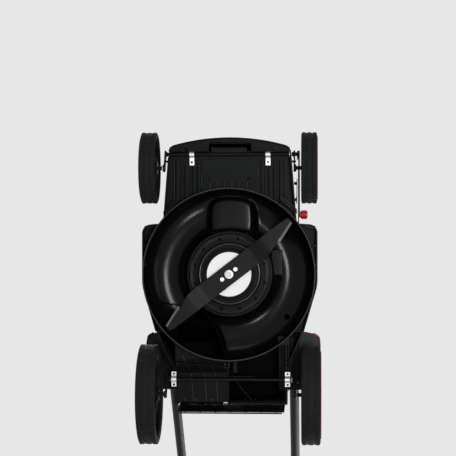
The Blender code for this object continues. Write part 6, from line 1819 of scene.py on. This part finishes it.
class MOWER_OT_running_gear(MowerStep, bpy.types.Operator):
    """Build the axles, their clips, the height lever and the link"""

    bl_idname = "mower.running_gear"
    bl_label = "Axles and height lever"

    def execute(self, context):
        front = "front_axle_body"
        make_piece("front_rod", axle_shape(FRONT_PIVOT, LEVER_X, 221.5), "coated", front, "front_axle")
        make_piece("rear_rod", rear_axle_shape(), "coated", "rear_axle_body", "rear_axle")
        make_piece("height_arm", lever_shape(), "coated", front, "height_lever")
        make_piece("red_knob", knob_shape(), "red", front, "lever_knob")
        make_piece("height_link", link_shape(), "coated", "link", "link_rod")
        arc_shape = softened(copy_of("height_quadrant"), 0.35, 2, 0.6)
        make_piece("height_arc", arc_shape, "coated", node="height_quadrant")
        make_piece("lock_rings", lock_rings(), "zinc")
        for side, word in SIDES:
            make_piece("front_strap_" + word, front_clip_shape(side), "zinc", node="front_clip_" + word)
            make_piece("rear_strap_" + word, rear_clip_shape(side), "zinc", node="rear_clip_" + word)
            make_piece("clip_screws_" + word, clip_screws(side), "dark_screw")
        screws = [screw((x, -325.0, 164.0), (0, 0, -1), 2.6, 1.0) for x in (90.0, 49.0, 120.0)]
        make_piece("cover_screws", together(*screws), "dark_screw")
        return {"FINISHED"}


class MOWER_OT_wheels(MowerStep, bpy.types.Operator):
    """Build the four wheels"""

    bl_idname = "mower.wheels"
    bl_label = "Wheels"

    def execute(self, context):
        blocks = context.scene.mower_sizes.tread_blocks
        for wheel, (y, radius, width) in WHEELS.items():
            count = blocks if wheel == "front" else int(blocks * 1.4)
            for side, word in SIDES:
                where = wheel + "_" + word
                for name, shape, look, node in (
                    ("tread_", tyre_shape(radius, width, count), "rubber", "_tyre"),
                    ("wheel_", rim_shape(radius, width), "moulded", "_rim"),
                    ("ring_", trim_shape(radius, width), "red", "_trim"),
                ):
                    placed = outwards(shape, side, (side * WHEEL_X, y, radius))
                    make_piece(name + where, placed, look, where + "_wheel", where + node)
        return {"FINISHED"}


class MOWER_OT_hood(MowerStep, bpy.types.Operator):
    """Build the hood, the shoulders and the battery compartment"""

    bl_idname = "mower.hood"
    bl_label = "Hood and battery"

    def execute(self, context):
        make_piece("hood_cover", hood_shell(), "hood inside", "mower", "hood", 0.5)
        make_piece("hood_details", hood_panels(), "moulded")
        for side, word in SIDES:
            make_piece("shoulder_" + word, shoulder_shape(side), "hood")
            make_piece("red_strip_" + word, trim_line(side), "red", node="shoulder_trim_" + word)
        bay = softened(copy_of("battery_bay"), 0.8, 2, 0.6)
        make_piece("fine_battery_bay", bay, "moulded", node="battery_bay")
        make_piece("battery", pack_shape(), "moulded", "battery", "battery_pack")
        key = softened(copy_of("safety_key"), 0.9, 3, 0.6)
        make_piece("key", key, "red", "key", "safety_key")
        make_piece("lid_cover", lid_shape(), "hood", "lid", "battery_lid")
        return {"FINISHED"}


class MOWER_OT_flap(MowerStep, bpy.types.Operator):
    """Build the rear flap with its pin and spring"""

    bl_idname = "mower.flap"
    bl_label = "Rear flap"

    def execute(self, context):
        make_piece("flap_plate", flap_shape(), "moulded", "flap", "rear_flap")
        pin = bar_round((-TAIL_HALF, *FLAP_PIVOT), (TAIL_HALF, *FLAP_PIVOT), 2.5, 24, 0.5)
        make_piece("hinge_pin", pin, "zinc", node="flap_pin")
        make_piece("fine_flap_spring", flap_spring_shape(), "zinc", node="flap_spring")
        return {"FINISHED"}


class MOWER_OT_handle(MowerStep, bpy.types.Operator):
    """Build the handle with its controls"""

    bl_idname = "mower.handle"
    bl_label = "Handle"

    def execute(self, context):
        for side, word in SIDES:
            make_piece("leg_" + word, lower_tube_shape(side), "coated", "lower_handle", "lower_tube_" + word)
            knob = star_knob_shape(side)
            make_piece("star_knob_" + word, knob, "moulded", "knob_" + word, "clamp_knob_" + word)
            make_piece("pivot_bolt_" + word, handle_bolt_shape(side), "zinc", node="handle_bolt_" + word)
        upper = "upper_handle_body"
        make_piece("upper_tube", upper_tube_shape(), "coated", upper, "upper_handle")
        foam = make_piece("foam_sleeve", grip_shape(), "foam", upper, "grip")
        make_piece("switch_housing", switch_box_shape(), "moulded", upper, "switch_box")
        mount = softened(copy_of("bail_mount"), 1.2, 3, 0.4)
        make_piece("bail_bracket", mount, "moulded", upper, "bail_mount")
        make_piece("bail_wire", bail_shape(), "red", "bail_lever", "bail")
        make_piece("round_button", button_shape(), "red", "button", "start_button")
        return {"FINISHED"}


class MOWER_OT_stage(MowerStep, bpy.types.Operator):
    """Build the floor, the light and the camera"""

    bl_idname = "mower.stage"
    bl_label = "Stage"

    def execute(self, context):
        scene = context.scene
        size = scene.mower_sizes.floor_size
        bm = bmesh.new()
        bmesh.ops.create_grid(bm, x_segments=2, y_segments=2, size=size / 2)
        mesh = bpy.data.meshes.new("floor")
        bm.to_mesh(mesh)
        bm.free()
        mesh.materials.append(floor_finish(scene.mower_colours.floor))
        floor = bpy.data.objects.new("floor", mesh)
        floor.visible_shadow = False
        floor.visible_diffuse = False
        floor.visible_glossy = False
        scene.collection.objects.link(floor)
        add_world(scene)
        for lamp in LAMPS:
            add_lamp(scene, *lamp)
        add_camera(scene)
        return {"FINISHED"}


def floor_finish(colour):
    """Pale floor that is clear from below, so that the camera can look up through it."""
    made = Finish("floor", colour, 0.85)
    cloud = made.noise(900.0, 2.0)
    made.blend(cloud * 0.2, shade(colour, 0.96))
    made.set("Roughness", 0.80 + cloud * 0.08)
    made.raise_by(made.noise(6.0, 2.0), 0.05)
    material = made.done(0.4)
    wire = made.wire
    back = wire.node("ShaderNodeNewGeometry", output="Backfacing")
    clear = wire.node("ShaderNodeBsdfTransparent")
    solid = Wire(wire.tree, made.shader.outputs["BSDF"])
    mixed = wire.node("ShaderNodeMixShader", None, {0: back, 1: solid, 2: clear})
    wire.feed(mixed, wire.tree.nodes["Material Output"].inputs["Surface"])
    return material


SKY_SEEN = (0.80, 0.80, 0.80, 1.0)
SKY_DIM = (0.30, 0.30, 0.305, 1.0)


def add_world(scene):
    """Pale for the camera and in reflections, dim as light."""
    world = bpy.data.worlds.new("studio")
    world.use_nodes = True
    tree = world.node_tree
    wire = Wire(tree)
    path = wire.node("ShaderNodeLightPath", output="Is Camera Ray")
    seen = path + path.also("Is Glossy Ray") + path.also("Is Transmission Ray")
    seen = wire.math("MINIMUM", seen, 1.0)
    sky = wire.node("ShaderNodeMix", {"data_type": "RGBA"}, {0: seen, 6: SKY_DIM, 7: SKY_SEEN}, 2)
    wire.feed(sky, tree.nodes["Background"].inputs["Color"])
    scene.world = world


BELOW_AIM = (0.0, 0.28, 0.10)
TOP_AIM = (0.0, 0.1, 0.3)
# Each lamp's name, place, aim, width, height and power.
LAMPS = (
    ("key_below", (-0.95, 0.48, -3.95), BELOW_AIM, 0.75, 0.9, 79.0),
    ("low_below", (-1.15, -2.0, -3.4), BELOW_AIM, 0.6, 0.5, 35.0),
    ("left_below", (4.6, 0.1, -1.2), BELOW_AIM, 3.0, 2.6, 9.0),
    ("right_below", (-4.4, 0.6, -1.7), BELOW_AIM, 2.6, 2.6, 32.0),
    ("front_below", (0.2, 4.6, -2.0), BELOW_AIM, 3.0, 1.6, 32.0),
    ("top", (0.9, 1.4, 3.0), TOP_AIM, 2.0, 2.0, 70.0),
    ("top_back", (-1.4, -2.2, 2.4), TOP_AIM, 2.0, 2.0, 50.0),
)


def add_lamp(scene, name, place, aim, width, height, energy):
    light = bpy.data.lights.new(name, "AREA")
    light.shape = "RECTANGLE"
    light.size = width
    light.size_y = height
    light.energy = energy
    light.spread = math.pi
    lamp = bpy.data.objects.new(name, light)
    lamp.matrix_world = aimed(Vector(place), Vector(aim))
    lamp.visible_camera = False
    scene.collection.objects.link(lamp)


def aimed(place, target):
    """A matrix at a place whose -Z looks at a target, with its Y as near world Y as can be."""
    back = (place - target).normalized()
    across = Vector((0.0, 1.0, 0.0)).cross(back).normalized()
    turn = Matrix((across, back.cross(across), back)).transposed()
    return Matrix.Translation(place) @ turn.to_4x4()


CAMERA_PLACE = Vector((-0.21, 0.395, -4.0))
CAMERA_AIM = Vector((0.00125, 0.395, 0.05))
LENS = 128.0
SENSOR = 36.0
PICTURE = 456


def add_camera(scene):
    data = bpy.data.cameras.new("camera")
    data.lens = LENS
    data.sensor_width = SENSOR
    camera = bpy.data.objects.new("camera", data)
    camera.matrix_world = aimed(CAMERA_PLACE, CAMERA_AIM)
    scene.collection.objects.link(camera)
    scene.camera = camera
    scene.render.resolution_x = PICTURE
    scene.render.resolution_y = PICTURE
    scene.view_settings.view_transform = "Standard"


class MOWER_PT_panel(bpy.types.Panel):
    """Sidebar panel with the sizes, colours and steps"""

    bl_idname = "MOWER_PT_panel"
    bl_label = "Lawn mower finish"
    bl_space_type = "VIEW_3D"
    bl_region_type = "UI"
    bl_category = "Mower"

    def draw(self, context):
        layout = self.layout
        for group in (context.scene.mower_sizes, context.scene.mower_colours):
            column = layout.column(align=True)
            for name in group.__annotations__:
                column.prop(group, name)
        for step in STEPS:
            layout.operator(step.bl_idname)


STEPS = (
    MOWER_OT_deck,
    MOWER_OT_motor,
    MOWER_OT_blade,
    MOWER_OT_running_gear,
    MOWER_OT_wheels,
    MOWER_OT_hood,
    MOWER_OT_flap,
    MOWER_OT_handle,
    MOWER_OT_stage,
)
CLASSES = (MowerSizes, MowerColours, *STEPS, MOWER_PT_panel)


def register():
    for made in CLASSES:
        bpy.utils.register_class(made)
    bpy.types.Scene.mower_sizes = PointerProperty(type=MowerSizes)
    bpy.types.Scene.mower_colours = PointerProperty(type=MowerColours)


def unregister():
    del bpy.types.Scene.mower_colours
    del bpy.types.Scene.mower_sizes
    for made in reversed(CLASSES):
        bpy.utils.unregister_class(made)


def main():
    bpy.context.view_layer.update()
    register()
    for step in STEPS:
        group, name = step.bl_idname.split(".")
        getattr(getattr(bpy.ops, group), name)()


if __name__ == "__main__":
    main()
